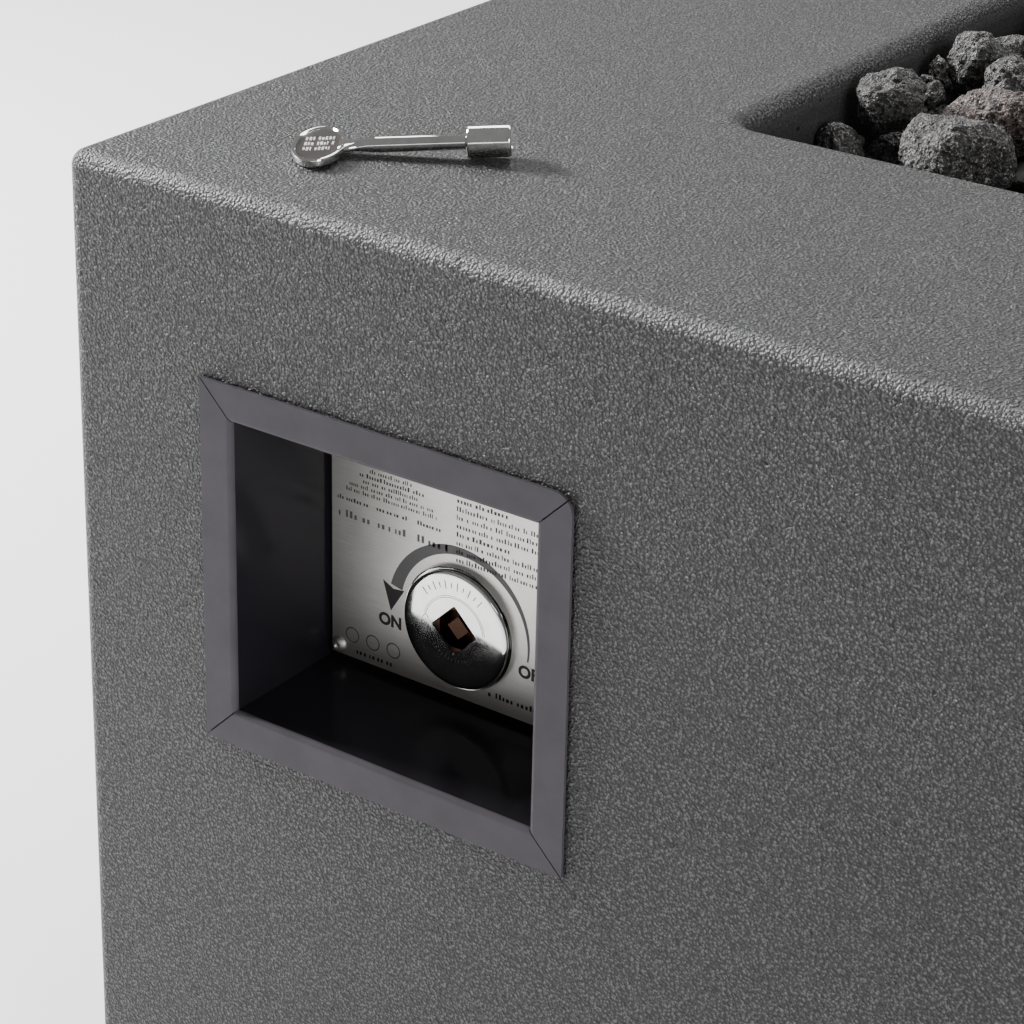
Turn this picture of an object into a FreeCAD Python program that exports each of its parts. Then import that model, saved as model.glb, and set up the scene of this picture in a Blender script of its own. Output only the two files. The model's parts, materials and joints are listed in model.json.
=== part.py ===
import FreeCAD, Part
import math
import os
import random
import Sketcher

V = FreeCAD.Vector
doc = FreeCAD.newDocument("gas_fire_table")

# Driving sizes in millimetres, apart from the counts, shares and angles that say so.
# The origin is on the floor under the middle of the table, +X runs along the front,
# +Y to the back and +Z up. "Front" is the long side with the valve box.
DRIVING_SIZES = (
    ("table_length", 1220, "cast shell, left to right"),
    ("table_depth", 610, "cast shell, front to back"),
    ("table_top", 406, "top face above the floor"),
    ("shell_lift", 10, "lower edge of the shell above the floor"),
    ("wall", 18, "side wall of the shell"),
    ("top_thickness", 24, "top slab of the shell"),
    ("edge_round", 6, "rounding of the outer edges"),
    ("rim_front", 171, "top face in front of the well, and behind it"),
    ("rim_side", 166, "top face beside the well"),
    ("well_corner", 8, "rounding of the well's upright corners"),
    ("lip_round", 9, "rounding of the well's lip"),
    ("well_wall", 16, "cast wall round the well"),
    ("ledge_drop", 46, "ledge below the top face"),
    ("ledge_width", 16, "ledge inside the well"),
    ("ledge_thickness", 14, "thickness of the ledge"),
    ("corner_block", 58, "side of the cast blocks in the lower corners"),
    ("corner_block_height", 48, "height of those blocks"),
    ("frame_inset", 60, "valve frame from the left end"),
    ("frame_drop", 68, "valve frame below the top face"),
    ("frame_width", 152.4, "valve frame, left to right"),
    ("frame_height", 138, "valve frame, top to bottom"),
    ("flange", 13.5, "width of the frame's strips"),
    ("frame_corner", 7, "rounding of the frame's upper right corner"),
    ("box_gauge", 1.2, "sheet of the valve box"),
    ("box_bend", 2, "outer bend radius at the mouth of the box"),
    ("mitre_slit", 0.5, "slit between the strips at each mitre"),
    ("box_clearance", 1.6, "between the box and its cut-out in the shell"),
    ("recess_depth", 51, "front face of the shell to the plate"),
    ("plate_gauge", 0.8, "instruction plate"),
    ("plate_margin_side", 1.8, "plate to the box's side walls"),
    ("plate_margin_end", 2.6, "plate to the box's floor and roof"),
    ("rivet_inset", 4.9, "rivet axis from the side walls, floor and roof"),
    ("rivet_head", 2.9, "radius of a rivet's head"),
    ("rivet_shank", 1.6, "radius of a rivet's shank"),
    ("rivet_dome", 1.5, "height of a rivet's head"),
    ("rivet_tail", 3, "rivet behind the back panel"),
    ("bracket_length", 80, "height of a box bracket"),
    ("bracket_reach", 26, "bracket along the box wall"),
    ("bracket_foot", 22, "bracket along the shell"),
    ("bracket_gauge", 2, "sheet of the bracket"),
    ("wood_screw", 2, "radius of the screws into the shell"),
    ("wood_screw_head", 3.8, "radius of their heads"),
    ("wood_screw_head_height", 2.4, "height of their heads"),
    ("wood_screw_grip", 12, "screw inside the shell"),
    ("valve_from_left", 72.7, "valve axis from the left of the frame"),
    ("valve_from_bottom", 44.4, "valve axis from the bottom of the frame"),
    ("escutcheon_radius", 22.3, "face of the escutcheon"),
    ("escutcheon_rim", 23.3, "its rim on the plate"),
    ("escutcheon_rim_height", 2.2, "that rim, in front of the plate"),
    ("escutcheon_groove", 0.45, "groove between the rim and the face"),
    ("escutcheon_height", 4, "its face in front of the plate"),
    ("escutcheon_face", 1.5, "thickness behind its face"),
    ("escutcheon_wall", 2.4, "thickness of its side"),
    ("key_opening", 13.3, "side of the square key opening"),
    ("nose_radius", 12.5, "threaded nose of the valve"),
    ("nose_bore", 7.5, "bore round the stem's square"),
    ("valve_radius", 17, "barrel of the valve"),
    ("valve_length", 44, "barrel behind the back panel"),
    ("lock_nut_flats", 32, "valve's lock nut, across flats"),
    ("lock_nut_height", 2.2, "valve's lock nut"),
    ("bonnet_radius", 10, "bonnet in the barrel"),
    ("bonnet_length", 10, "bonnet along the stem"),
    ("stem_radius", 4.5, "round part of the stem"),
    ("stem_square", 6.35, "square end of the stem"),
    ("stem_front", 1.6, "square end in front of the plate"),
    ("bonnet_front", 4, "face of the bonnet behind the plate's front"),
    ("plug_radius", 11, "rotary plug"),
    ("plug_length", 23.4, "rotary plug"),
    ("plug_bore", 7.5, "hollow of the plug"),
    ("gas_bore", 4.5, "gas way through the fittings"),
    ("running_clearance", 0.06, "radial play of turning parts"),
    ("end_play", 0.3, "axial play of turning parts"),
    ("cap_spigot", 13.5, "radius of the outlet cap's spigot"),
    ("cap_spigot_length", 8, "its length in the barrel"),
    ("cap_flats", 32, "outlet cap, across flats"),
    ("cap_height", 8, "hexagon of the outlet cap"),
    ("boss_radius", 10.5, "inlet boss under the barrel"),
    ("boss_drop", 32, "end of the boss below the valve axis"),
    ("flare_radius", 7.94, "male flare thread"),
    ("flare_length", 11, "male flare thread"),
    ("flare_nose", 2.6, "cone at the end of the thread"),
    ("flare_nut_flats", 20.6, "flare nuts, across flats"),
    ("flare_nut_length", 21, "flare nuts"),
    ("thread_clearance", 0.05, "radial play of the threaded joints"),
    ("pipe_radius", 4.76, "supply pipe"),
    ("pipe_wall", 0.9, "supply pipe"),
    ("pipe_bend", 70, "centre-line bend of the supply pipe"),
    ("hose_radius", 7, "burner hose"),
    ("hose_wall", 1.6, "burner hose"),
    ("inlet_height", 45, "gas inlet above the floor"),
    ("notch_width", 64, "hose notch in the back wall"),
    ("notch_height", 66, "hose notch above the shell's lower edge"),
    ("inlet_plate_width", 112, "plate that holds the gas inlet"),
    ("inlet_plate_height", 88, "plate that holds the gas inlet"),
    ("inlet_plate_gauge", 3, "plate that holds the gas inlet"),
    ("inlet_plate_edge", 9, "screws from the plate's edges"),
    ("inlet_shank", 8.6, "radius of the inlet fitting in the plate"),
    ("inlet_shank_length", 10, "that shank"),
    ("inlet_flats", 24, "inlet fitting's hexagon, across flats"),
    ("inlet_hex", 6, "length of that hexagon"),
    ("inlet_nut_height", 5, "lock nut of the inlet fitting"),
    ("pan_clearance", 2, "pan to the well on each side"),
    ("pan_gauge", 1.5, "sheet of the pan"),
    ("pan_depth", 17.5, "pan below its flange"),
    ("weep_radius", 4, "drain holes in the pan"),
    ("burner_length", 700, "length of the burner's long tubes"),
    ("burner_spacing", 124, "between the long tubes"),
    ("burner_radius", 8, "burner tube"),
    ("burner_wall", 1.2, "burner tube"),
    ("burner_cross_radius", 6.5, "burner's cross tube"),
    ("hub_radius", 17, "burner hub"),
    ("hub_height", 22, "burner hub"),
    ("port_radius", 1.2, "gas ports"),
    ("port_pitch", 40, "between gas ports"),
    ("saddle_width", 14, "saddle along the tube"),
    ("saddle_side", 3.5, "saddle beside the tube"),
    ("saddle_share", 0.72, "share of half the burner's length to a saddle"),
    ("nipple_radius", 10.5, "nipple through the pan"),
    ("nipple_wall", 3, "nipple through the pan"),
    ("nipple_grip", 10, "nipple in the hub, and in the mixer"),
    ("nipple_drop", 26, "nipple between the pan's floor and the mixer"),
    ("pan_nut_flats", 32, "lock nut under the pan, across flats"),
    ("pan_nut_height", 8, "lock nut under the pan"),
    ("mixer_radius", 16, "air mixer"),
    ("mixer_length", 58, "air mixer"),
    ("mixer_bore", 9, "bore of the air mixer"),
    ("mixer_base", 10, "solid base of the air mixer"),
    ("window_width", 9, "air windows"),
    ("window_height", 20, "air windows"),
    ("orifice_radius", 4, "gas orifice"),
    ("orifice_height", 9, "gas orifice above the mixer's base"),
    ("orifice_hole", 0.9, "hole of the gas orifice"),
    ("foot_inset", 36, "foot axis from the shell's outer faces"),
    ("foot_radius", 21, "foot pad"),
    ("foot_height", 7.5, "foot pad"),
    ("foot_collar", 8, "radius of the foot's hexagon collar"),
    ("stud_radius", 5, "stud of the foot"),
    ("stud_length", 30, "stud above the shell's lower edge"),
    ("insert_radius", 8, "threaded insert"),
    ("insert_length", 26, "threaded insert"),
    ("foot_stop_gap", 0.3, "collar below the insert at rest"),
    ("key_length", 75, "valve key, end to end"),
    ("key_head_width", 36, "oval head across the shaft"),
    ("key_head_length", 18.6, "oval head along the shaft"),
    ("key_head_thickness", 2.8, "oval head"),
    ("key_rim", 1.3, "raised rim of the head"),
    ("key_recess", 0.5, "face of the head below its rim"),
    ("key_shaft", 2.75, "radius of the key's shaft"),
    ("key_neck", 9, "fork between the head and the round shaft"),
    ("key_neck_radius", 2.3, "shaft radius where it meets the head"),
    ("key_fork", 7.6, "half width of the fork at the head"),
    ("key_barrel", 5.55, "radius of the key's barrel"),
    ("key_barrel_length", 14.7, "key's barrel"),
    ("key_barrel_chamfer", 0.6, "edges of the key's barrel"),
    ("key_socket", 6.6, "square socket in the barrel"),
    ("key_socket_depth", 12, "square socket in the barrel"),
    ("key_lift", 0.2, "key above the top face"),
    ("key_head_left", 70.5, "middle of the head from the left end"),
    ("key_head_back", 50.5, "middle of the head from the front face"),
    ("key_yaw", 33, "degrees from +X to the key's shaft"),
    ("rock_pitch", 43, "between the large rocks"),
    ("rock_jitter", 0.22, "share of the pitch that a rock may stray"),
    ("rock_gap", 0.4, "between neighbouring rocks"),
    ("rock_seat", 0.3, "between rocks and what holds them"),
    ("rock_top_low", 5, "lowest rock tops below the top face"),
    ("rock_top_high", 7, "highest rock tops above the top face"),
    ("chip_radius", 9, "small rocks on top"),
    ("rock_seed", 7, "which of the many heaps of rock is made"),
)

sheet = doc.addObject("Spreadsheet::Sheet", "Sizes")
for row, (alias, number, meaning) in enumerate(DRIVING_SIZES, start=1):
    sheet.set(f"A{row}", alias)
    sheet.set(f"B{row}", str(number))
    sheet.setAlias(f"B{row}", alias)
    sheet.set(f"C{row}", meaning)
doc.recompute()


class Size:
    """A length that keeps the sheet formula it comes from beside its value."""

    def __init__(self, text, value):
        self.text = text
        self.value = value

    def joined(self, sign, other, value):
        return Size(f"({self.text} {sign} {as_size(other).text})", value)

    def __add__(self, other):
        return self.joined("+", other, self.value + float(other))

    def __sub__(self, other):
        return self.joined("-", other, self.value - float(other))

    def __mul__(self, other):
        return self.joined("*", other, self.value * float(other))

    def __truediv__(self, other):
        return self.joined("/", other, self.value / float(other))

    def __radd__(self, other):
        return as_size(other) + self

    def __rsub__(self, other):
        return as_size(other) - self

    def __rmul__(self, other):
        return as_size(other) * self

    def __neg__(self):
        return Size(f"(0 - {self.text})", -self.value)

    def __float__(self):
        return float(self.value)


def as_size(number):
    return number if isinstance(number, Size) else Size(str(float(number)), float(number))


def size(alias):
    return Size(f"Sizes.{alias}", float(sheet.get(alias)))


TURN = {
    "x": FreeCAD.Rotation(V(0, 1, 0), 90),
    "-x": FreeCAD.Rotation(V(0, 1, 0), -90),
    "y": FreeCAD.Rotation(V(1, 0, 0), -90),
    "-y": FreeCAD.Rotation(V(1, 0, 0), 90),
    "z": FreeCAD.Rotation(),
    "-z": FreeCAD.Rotation(V(1, 0, 0), 180),
}
DIRECTION = {
    "x": (1, 0, 0), "-x": (-1, 0, 0), "y": (0, 1, 0),
    "-y": (0, -1, 0), "z": (0, 0, 1), "-z": (0, 0, -1),
}
nodes = []


def node(label, item):
    item.Label = label
    nodes.append(item)
    return item


def bind(item, **sizes):
    for name, value in sizes.items():
        item.setExpression(name.replace("_at_", ".").replace("Base_", "Base."), as_size(value).text)
    return item


def place(item, point, axis="z"):
    item.Placement = FreeCAD.Placement(V(*[float(c) for c in point]), TURN[axis])
    for letter, value in zip("xyz", point):
        item.setExpression(f"Placement.Base.{letter}", as_size(value).text)
    return item


def along(point, axis, distance):
    return tuple(c + d * distance if d else c for c, d in zip(point, DIRECTION[axis]))


def box(name, low, high):
    item = doc.addObject("Part::Box", name)
    bind(item, Length=high[0] - low[0], Width=high[1] - low[1], Height=high[2] - low[2])
    return place(item, low)


def cylinder(name, radius, start, length, axis="z"):
    item = doc.addObject("Part::Cylinder", name)
    bind(item, Radius=radius, Height=length)
    return place(item, start, axis)


def cone(name, radius, end_radius, start, length, axis="z"):
    item = doc.addObject("Part::Cone", name)
    bind(item, Radius1=radius, Radius2=end_radius, Height=length)
    return place(item, start, axis)


def hexagon(name, flats, start, length, axis="z"):
    item = doc.addObject("Part::Prism", name)
    item.Polygon = 6
    bind(item, Circumradius=flats / math.sqrt(3), Height=length)
    return place(item, start, axis)


def fuse(name, *parts):
    item = doc.addObject("Part::MultiFuse", name)
    item.Shapes = list(parts)
    return item


def cut(name, base, *tools):
    item = doc.addObject("Part::Cut", name)
    item.Base = base
    item.Tool = tools[0] if len(tools) == 1 else fuse(name + "_tools", *tools)
    return item


def group(name, *parts):
    item = doc.addObject("Part::Compound", name)
    item.Links = list(parts)
    return item


def body(label):
    return node(label, doc.addObject("PartDesign::Body", label))


def sketch(owner, name, role, offset=0):
    item = owner.newObject("Sketcher::SketchObject", name)
    plane = [f for f in owner.Origin.OriginFeatures if f.Role == role][0]
    item.AttachmentSupport = (plane, [""])
    item.MapMode = "FlatFace"
    bind(item, AttachmentOffset_at_Base_z=offset)
    return item


def fix_point(item, geometry, corner, point):
    for kind, letter, value in (("DistanceX", "x", point[0]), ("DistanceY", "y", point[1])):
        label = f"{letter}{geometry}_{corner}"
        index = item.addConstraint(Sketcher.Constraint(kind, -1, 1, geometry, corner, float(value)))
        item.renameConstraint(index, label)
        item.setExpression(f"Constraints.{label}", as_size(value).text)


def polygon(item, points):
    first = item.GeometryCount
    count = len(points)
    flat = [V(float(x), float(y), 0) for x, y in points]
    for i in range(count):
        item.addGeometry(Part.LineSegment(flat[i], flat[(i + 1) % count]), False)
    for i in range(count):
        item.addConstraint(
            Sketcher.Constraint("Coincident", first + i, 2, first + (i + 1) % count, 1)
        )
    for i in range(count):
        fix_point(item, first + i, 1, points[i])


def rectangle(item, left, right, low, high):
    polygon(item, [(left, low), (right, low), (right, high), (left, high)])


def circle(item, centre, radius):
    index = item.GeometryCount
    middle = V(float(centre[0]), float(centre[1]), 0)
    item.addGeometry(Part.Circle(middle, V(0, 0, 1), float(radius)), False)
    fix_point(item, index, 3, centre)
    label = f"r{index}"
    item.renameConstraint(item.addConstraint(Sketcher.Constraint("Radius", index, float(radius))), label)
    item.setExpression(f"Constraints.{label}", as_size(radius).text)


def pad(owner, profile, length, backwards=False):
    feature = owner.newObject("PartDesign::Pad", profile.Name + "_pad")
    feature.Profile = profile
    feature.Reversed = backwards
    bind(feature, Length=length)
    return feature


def pocket(owner, profile, depth, backwards=False):
    doc.recompute()
    before = owner.Shape.Volume
    feature = owner.newObject("PartDesign::Pocket", profile.Name + "_pocket")
    feature.Profile = profile
    feature.Reversed = backwards
    bind(feature, Length=depth)
    doc.recompute()
    if owner.Shape.Volume >= before:
        raise RuntimeError(f"{feature.Name} removes nothing")
    return feature


def round_edges(owner, name, radius, wanted):
    """Round every edge of the body's present shape that wanted(edge) picks."""
    doc.recompute()
    base = owner.Tip
    picked = [f"Edge{i}" for i, e in enumerate(base.Shape.Edges, start=1) if wanted(e)]
    if not picked:
        raise RuntimeError(f"{name} finds no edge")
    feature = owner.newObject("PartDesign::Fillet", name)
    feature.Base = (base, picked)
    bind(feature, Radius=radius)
    doc.recompute()
    return feature


def near(a, b):
    return abs(float(a) - float(b)) < 1e-4


def upright(edge):
    box_of = edge.BoundBox
    return box_of.XLength < 1e-6 and box_of.YLength < 1e-6


def level_at(edge, height):
    return near(edge.BoundBox.ZMin, height) and near(edge.BoundBox.ZMax, height)


def turned(label, profile, start, axis):
    """A body of revolution: profile holds (radius, station along the axis) pairs."""
    item = doc.addObject("PartDesign::Body", label)
    shape = sketch(item, label + "_profile", "XZ_Plane")
    polygon(shape, profile)
    feature = item.newObject("PartDesign::Revolution", label + "_turned")
    feature.Profile = shape
    feature.ReferenceAxis = (shape, ["V_Axis"])
    feature.Angle = 360
    return place(item, start, axis)


# Places that several pieces share.
half_length = size("table_length") / 2
half_depth = size("table_depth") / 2
front = -half_depth
top = size("table_top")
lift = size("shell_lift")
wall = size("wall")
well_x = half_length - size("rim_side")
well_y = half_depth - size("rim_front")
ledge = top - size("ledge_drop")
ledge_under = ledge - size("ledge_thickness")
hole_x = well_x - size("ledge_width")
hole_y = well_y - size("ledge_width")
inner_x = half_length - wall
inner_y = half_depth - wall

gauge = size("box_gauge")
frame_left = size("frame_inset") - half_length
frame_right = frame_left + size("frame_width")
frame_top = top - size("frame_drop")
frame_bottom = frame_top - size("frame_height")
box_left = frame_left + size("flange")
box_right = frame_right - size("flange")
box_top = frame_top - size("flange")
box_bottom = frame_bottom + size("flange")
plate_y = front + size("recess_depth")
panel_y = plate_y + size("plate_gauge")
panel_back = panel_y + gauge

valve_x = frame_left + size("valve_from_left")
valve_z = frame_bottom + size("valve_from_bottom")
valve_end = panel_back + size("valve_length")
bonnet_y = plate_y + size("bonnet_front")
chamber_y = bonnet_y + size("bonnet_length")
plug_y = chamber_y + size("end_play")
plug_end = plug_y + size("plug_length")
spigot_y = plug_end + size("end_play")
inlet_y = plug_y + size("plug_length") / 2
inlet_z = size("inlet_height")
inlet_plate_y = inner_y - size("inlet_plate_gauge")

foot_x = half_length - size("foot_inset")
foot_y = half_depth - size("foot_inset")
FEET = (
    ("front_left", -foot_x, -foot_y), ("front_right", foot_x, -foot_y),
    ("back_left", -foot_x, foot_y), ("back_right", foot_x, foot_y),
)

pan_floor = ledge - size("pan_depth") + size("pan_gauge")
tube_z = pan_floor + size("hub_height") / 2
tube_y = size("burner_spacing") / 2
tube_end = size("burner_length") / 2
mixer_top = pan_floor - size("nipple_drop") + size("nipple_grip")
mixer_z = mixer_top - size("mixer_length")

bracket_low = (box_top + box_bottom - size("bracket_length")) / 2
bracket_screw_z = (
    bracket_low + size("bracket_length") / 5,
    bracket_low + size("bracket_length") * 4 / 5,
)
bracket_screw_x = (
    box_left - gauge - size("bracket_gauge") - size("bracket_foot") * 3 / 5,
    box_right + gauge + size("bracket_gauge") + size("bracket_foot") * 3 / 5,
)
plate_screw_x = size("inlet_plate_width") / 2 - size("inlet_plate_edge")
plate_low = lift + 4
plate_high = plate_low + size("inlet_plate_height")
plate_screw_z = plate_high - size("inlet_plate_edge")


# Cast shell
def make_shell():
    shell = body("fire_table_shell")
    plan = sketch(shell, "shell_plan", "XY_Plane", lift)
    rectangle(plan, -half_length, half_length, -half_depth, half_depth)
    pad(shell, plan, top - lift)
    round_edges(shell, "shell_corners", size("edge_round"), upright)
    round_edges(shell, "shell_rim", size("edge_round"), lambda e: level_at(e, top))
    cavity = sketch(shell, "shell_cavity", "XY_Plane", lift)
    rectangle(cavity, -inner_x, inner_x, -inner_y, inner_y)
    pocket(shell, cavity, top - size("top_thickness") - lift, backwards=True)
    housing = sketch(shell, "well_housing", "XY_Plane", ledge_under)
    outer_x = well_x + size("well_wall")
    outer_y = well_y + size("well_wall")
    rectangle(housing, -outer_x, outer_x, -outer_y, outer_y)
    pad(shell, housing, top - size("top_thickness") - ledge_under + 1)
    well = sketch(shell, "well_plan", "XY_Plane", ledge)
    rectangle(well, -well_x, well_x, -well_y, well_y)
    pocket(shell, well, size("ledge_drop") + 1, backwards=True)

    def well_corner_edge(edge):
        return upright(edge) and near(abs(edge.BoundBox.XMin), well_x) and edge.BoundBox.ZMax > float(ledge)

    round_edges(shell, "well_corners", size("well_corner"), well_corner_edge)

    def lip_edge(edge):
        reach = abs(edge.BoundBox.Center.x) < float(well_x) + 1 and abs(edge.BoundBox.Center.y) < float(well_y) + 1
        return level_at(edge, top) and reach

    round_edges(shell, "well_lip", size("lip_round"), lip_edge)
    drop = sketch(shell, "ledge_hole", "XY_Plane", ledge_under)
    rectangle(drop, -hole_x, hole_x, -hole_y, hole_y)
    pocket(shell, drop, size("ledge_thickness"), backwards=True)

    blocks = sketch(shell, "corner_blocks", "XY_Plane", lift)
    block_x = inner_x - size("corner_block") + wall
    block_y = inner_y - size("corner_block") + wall
    for side in (-1, 1):
        for end in (-1, 1):
            rectangle(blocks, side * block_x, side * (inner_x + wall / 2), end * block_y, end * (inner_y + wall / 2))
    pad(shell, blocks, size("corner_block_height"))
    sockets = sketch(shell, "insert_sockets", "XY_Plane", lift)
    for name, x, y in FEET:
        circle(sockets, (x, y), size("insert_radius"))
    pocket(shell, sockets, size("insert_length"), backwards=True)
    tips = sketch(shell, "stud_clearance", "XY_Plane", lift + size("insert_length"))
    for name, x, y in FEET:
        circle(tips, (x, y), size("stud_radius") + 1)
    pocket(shell, tips, size("stud_length") - size("insert_length") + 5, backwards=True)

    mouth = sketch(shell, "valve_cut_out", "XZ_Plane", half_depth)
    room = gauge + size("box_clearance")
    rectangle(mouth, box_left - room, box_right + room, box_bottom - room, box_top + room)
    pocket(shell, mouth, wall)
    notch = sketch(shell, "hose_notch", "XZ_Plane", -inner_y)
    half_notch = size("notch_width") / 2
    rectangle(notch, valve_x - half_notch, valve_x + half_notch, lift, lift + size("notch_height"))
    pocket(shell, notch, wall)
    pilots = sketch(shell, "bracket_pilots", "XZ_Plane", inner_y)
    for x in bracket_screw_x:
        for z in bracket_screw_z:
            circle(pilots, (x, z), size("wood_screw"))
    pocket(shell, pilots, size("wood_screw_grip"), backwards=True)
    rear_pilots = sketch(shell, "inlet_plate_pilots", "XZ_Plane", -inner_y)
    for side in (-1, 1):
        for z in (plate_low + size("inlet_plate_edge"), plate_screw_z):
            circle(rear_pilots, (valve_x + side * plate_screw_x, z), size("wood_screw"))
    pocket(shell, rear_pilots, size("wood_screw_grip"))


# Valve box: folded walls with a mitred frame, back panel, plate, rivets and brackets
def make_valve_box():
    wrap = body("valve_box_wrap")
    strips = sketch(wrap, "frame_strips", "XZ_Plane", half_depth)
    rectangle(strips, frame_left, frame_right, frame_bottom, frame_top)
    rectangle(strips, box_left, box_right, box_bottom, box_top)
    pad(wrap, strips, gauge)
    walls = sketch(wrap, "box_walls", "XZ_Plane", half_depth)
    rectangle(walls, box_left - gauge, box_right + gauge, box_bottom - gauge, box_top + gauge)
    rectangle(walls, box_left, box_right, box_bottom, box_top)
    pad(wrap, walls, size("recess_depth") + size("plate_gauge"), backwards=True)

    def at_mouth(edge, left, right, low, high, y):
        b = edge.BoundBox
        if not (near(b.YMin, y) and near(b.YMax, y)):
            return False
        on_side = b.XLength < 1e-6 and (near(b.XMin, left) or near(b.XMin, right)) and b.ZLength > 20
        on_end = b.ZLength < 1e-6 and (near(b.ZMin, low) or near(b.ZMin, high)) and b.XLength > 20
        inside = float(left) - 1e-4 <= b.XMin and b.XMax <= float(right) + 1e-4
        return inside and (on_side or on_end)

    outer = (box_left - gauge, box_right + gauge, box_bottom - gauge, box_top + gauge)
    round_edges(wrap, "inner_bends", size("box_bend") - gauge, lambda e: at_mouth(e, *outer, front))
    inner = (box_left, box_right, box_bottom, box_top)
    round_edges(wrap, "outer_bends", size("box_bend"), lambda e: at_mouth(e, *inner, front - gauge))

    def frame_corner_edge(edge):
        b = edge.BoundBox
        return near(b.XMin, frame_right) and near(b.XMax, frame_right) and near(b.ZMin, frame_top) and near(b.ZMax, frame_top)

    round_edges(wrap, "frame_corner_round", size("frame_corner"), frame_corner_edge)
    mitres = sketch(wrap, "mitre_slits", "XZ_Plane", half_depth)
    half_slit = size("mitre_slit") / math.sqrt(2)
    overshoot = size("mitre_slit") * 2
    corners = (
        (box_left, box_bottom, frame_left - overshoot, frame_bottom - overshoot),
        (box_right, box_bottom, frame_right + overshoot, frame_bottom - overshoot),
        (box_right, box_top, frame_right + overshoot, frame_top + overshoot),
        (box_left, box_top, frame_left - overshoot, frame_top + overshoot),
    )
    for x_in, z_in, x_out, z_out in corners:
        polygon(mitres, [
            (x_in - half_slit, z_in), (x_in + half_slit, z_in),
            (x_out + half_slit, z_out), (x_out - half_slit, z_out),
        ])
    pocket(wrap, mitres, gauge, backwards=True)

    panel_hole = cylinder("panel_hole", size("nose_radius") + 1, (valve_x, plate_y - 1, valve_z), 4, "y")
    bind(panel_hole, Height=size("plate_gauge") + gauge + 2)
    rivet_x = (box_left + size("rivet_inset"), box_right - size("rivet_inset"))
    rivet_z = (box_bottom + size("rivet_inset") + 1, box_top - size("rivet_inset") - 1)
    spots = [(x, z) for x in rivet_x for z in rivet_z]
    holes = [
        cylinder("rivet_hole", size("rivet_shank"), (x, plate_y, z), size("plate_gauge") + gauge, "y")
        for x, z in spots
    ]
    panel = box("panel_sheet", (box_left - gauge, panel_y, box_bottom - gauge), (box_right + gauge, panel_back, box_top + gauge))
    node("valve_box_back", cut("valve_box_back", panel, panel_hole, *holes))
    side = size("plate_margin_side")
    end = size("plate_margin_end")
    plate = box("plate_sheet", (box_left + side, plate_y, box_bottom + end), (box_right - side, panel_y, box_top - end))
    node("instruction_plate", cut("instruction_plate", plate, panel_hole, *holes))

    dome = size("rivet_dome")
    tail = size("plate_gauge") + gauge + size("rivet_tail")
    profile = [
        (0, 0 - dome * 0.55), (size("rivet_head") * 0.3, 0 - dome * 0.55), (size("rivet_head") * 0.45, 0 - dome),
        (size("rivet_head") * 0.7, 0 - dome * 0.85), (size("rivet_head"), 0), (size("rivet_shank"), 0),
        (size("rivet_shank"), tail), (0, tail),
    ]
    rivets = [turned(f"rivet_{i}", profile, (x, plate_y, z), "y") for i, (x, z) in enumerate(spots)]
    node("plate_rivets", group("plate_rivets", *rivets))

    sheet_of = size("bracket_gauge")
    arms = []
    screws = []
    for side, x_wall in ((-1, box_left - gauge), (1, box_right + gauge)):
        reach = size("bracket_foot") + sheet_of
        x_low, x_high = (x_wall - reach, x_wall) if side < 0 else (x_wall, x_wall + reach)
        x_arm = (x_wall - sheet_of, x_wall) if side < 0 else (x_wall, x_wall + sheet_of)
        y_foot = front + wall
        high = bracket_low + size("bracket_length")
        foot = box("bracket_foot", (x_low, y_foot, bracket_low), (x_high, y_foot + sheet_of, high))
        arm = box("bracket_arm", (x_arm[0], y_foot, bracket_low), (x_arm[1], y_foot + size("bracket_reach"), high))
        x_screw = bracket_screw_x[0] if side < 0 else bracket_screw_x[1]
        drills = [cylinder("bracket_hole", size("wood_screw"), (x_screw, y_foot, z), sheet_of, "y") for z in bracket_screw_z]
        arms.append(cut("box_bracket", fuse("bracket_angle", foot, arm), *drills))
        screws += [wall_screw((x_screw, y_foot + sheet_of, z), "-y", sheet_of) for z in bracket_screw_z]
    node("box_brackets", group("box_brackets", *arms))
    node("box_bracket_screws", group("box_bracket_screws", *screws))


def wall_screw(seat, axis, through):
    """A pan-head screw whose head rests at seat and whose shank runs along axis into the shell."""
    back = {"-y": "y", "y": "-y"}[axis]
    head = cylinder("screw_head", size("wood_screw_head"), seat, size("wood_screw_head_height"), back)
    shank = cylinder("screw_shank", size("wood_screw"), seat, through + size("wood_screw_grip"), axis)
    slot_low = along(seat, back, size("wood_screw_head_height"))
    slot = cylinder("screw_recess", size("wood_screw_head") * 0.4, slot_low, size("wood_screw_head_height") / 2, axis)
    return cut("wall_screw", fuse("screw_blank", head, shank), slot)


def male_flare(name, start, axis):
    """Thread and cone of a flare connection that ends at start plus its length along axis."""
    thread = cylinder(name + "_thread", size("flare_radius"), start, size("flare_length"), axis)
    nose = cone(
        name + "_nose", size("flare_radius"), size("flare_radius") - size("flare_nose"),
        along(start, axis, size("flare_length")), size("flare_nose"), axis,
    )
    return thread, nose


flare_reach = size("flare_length") + size("flare_nose")


def flare_nut(label, start, axis, tube_radius):
    """A nut over the male flare at start; the tube leaves it at its far end."""
    clearance = size("thread_clearance")
    blank = hexagon(label + "_blank", size("flare_nut_flats"), start, size("flare_nut_length"), axis)
    thread = cylinder(label + "_bore", size("flare_radius") + clearance, start, flare_reach, axis)
    tail = cylinder(label + "_tail", tube_radius + clearance, start, size("flare_nut_length"), axis)
    return node(label, cut(label, blank, thread, tail))


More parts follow.
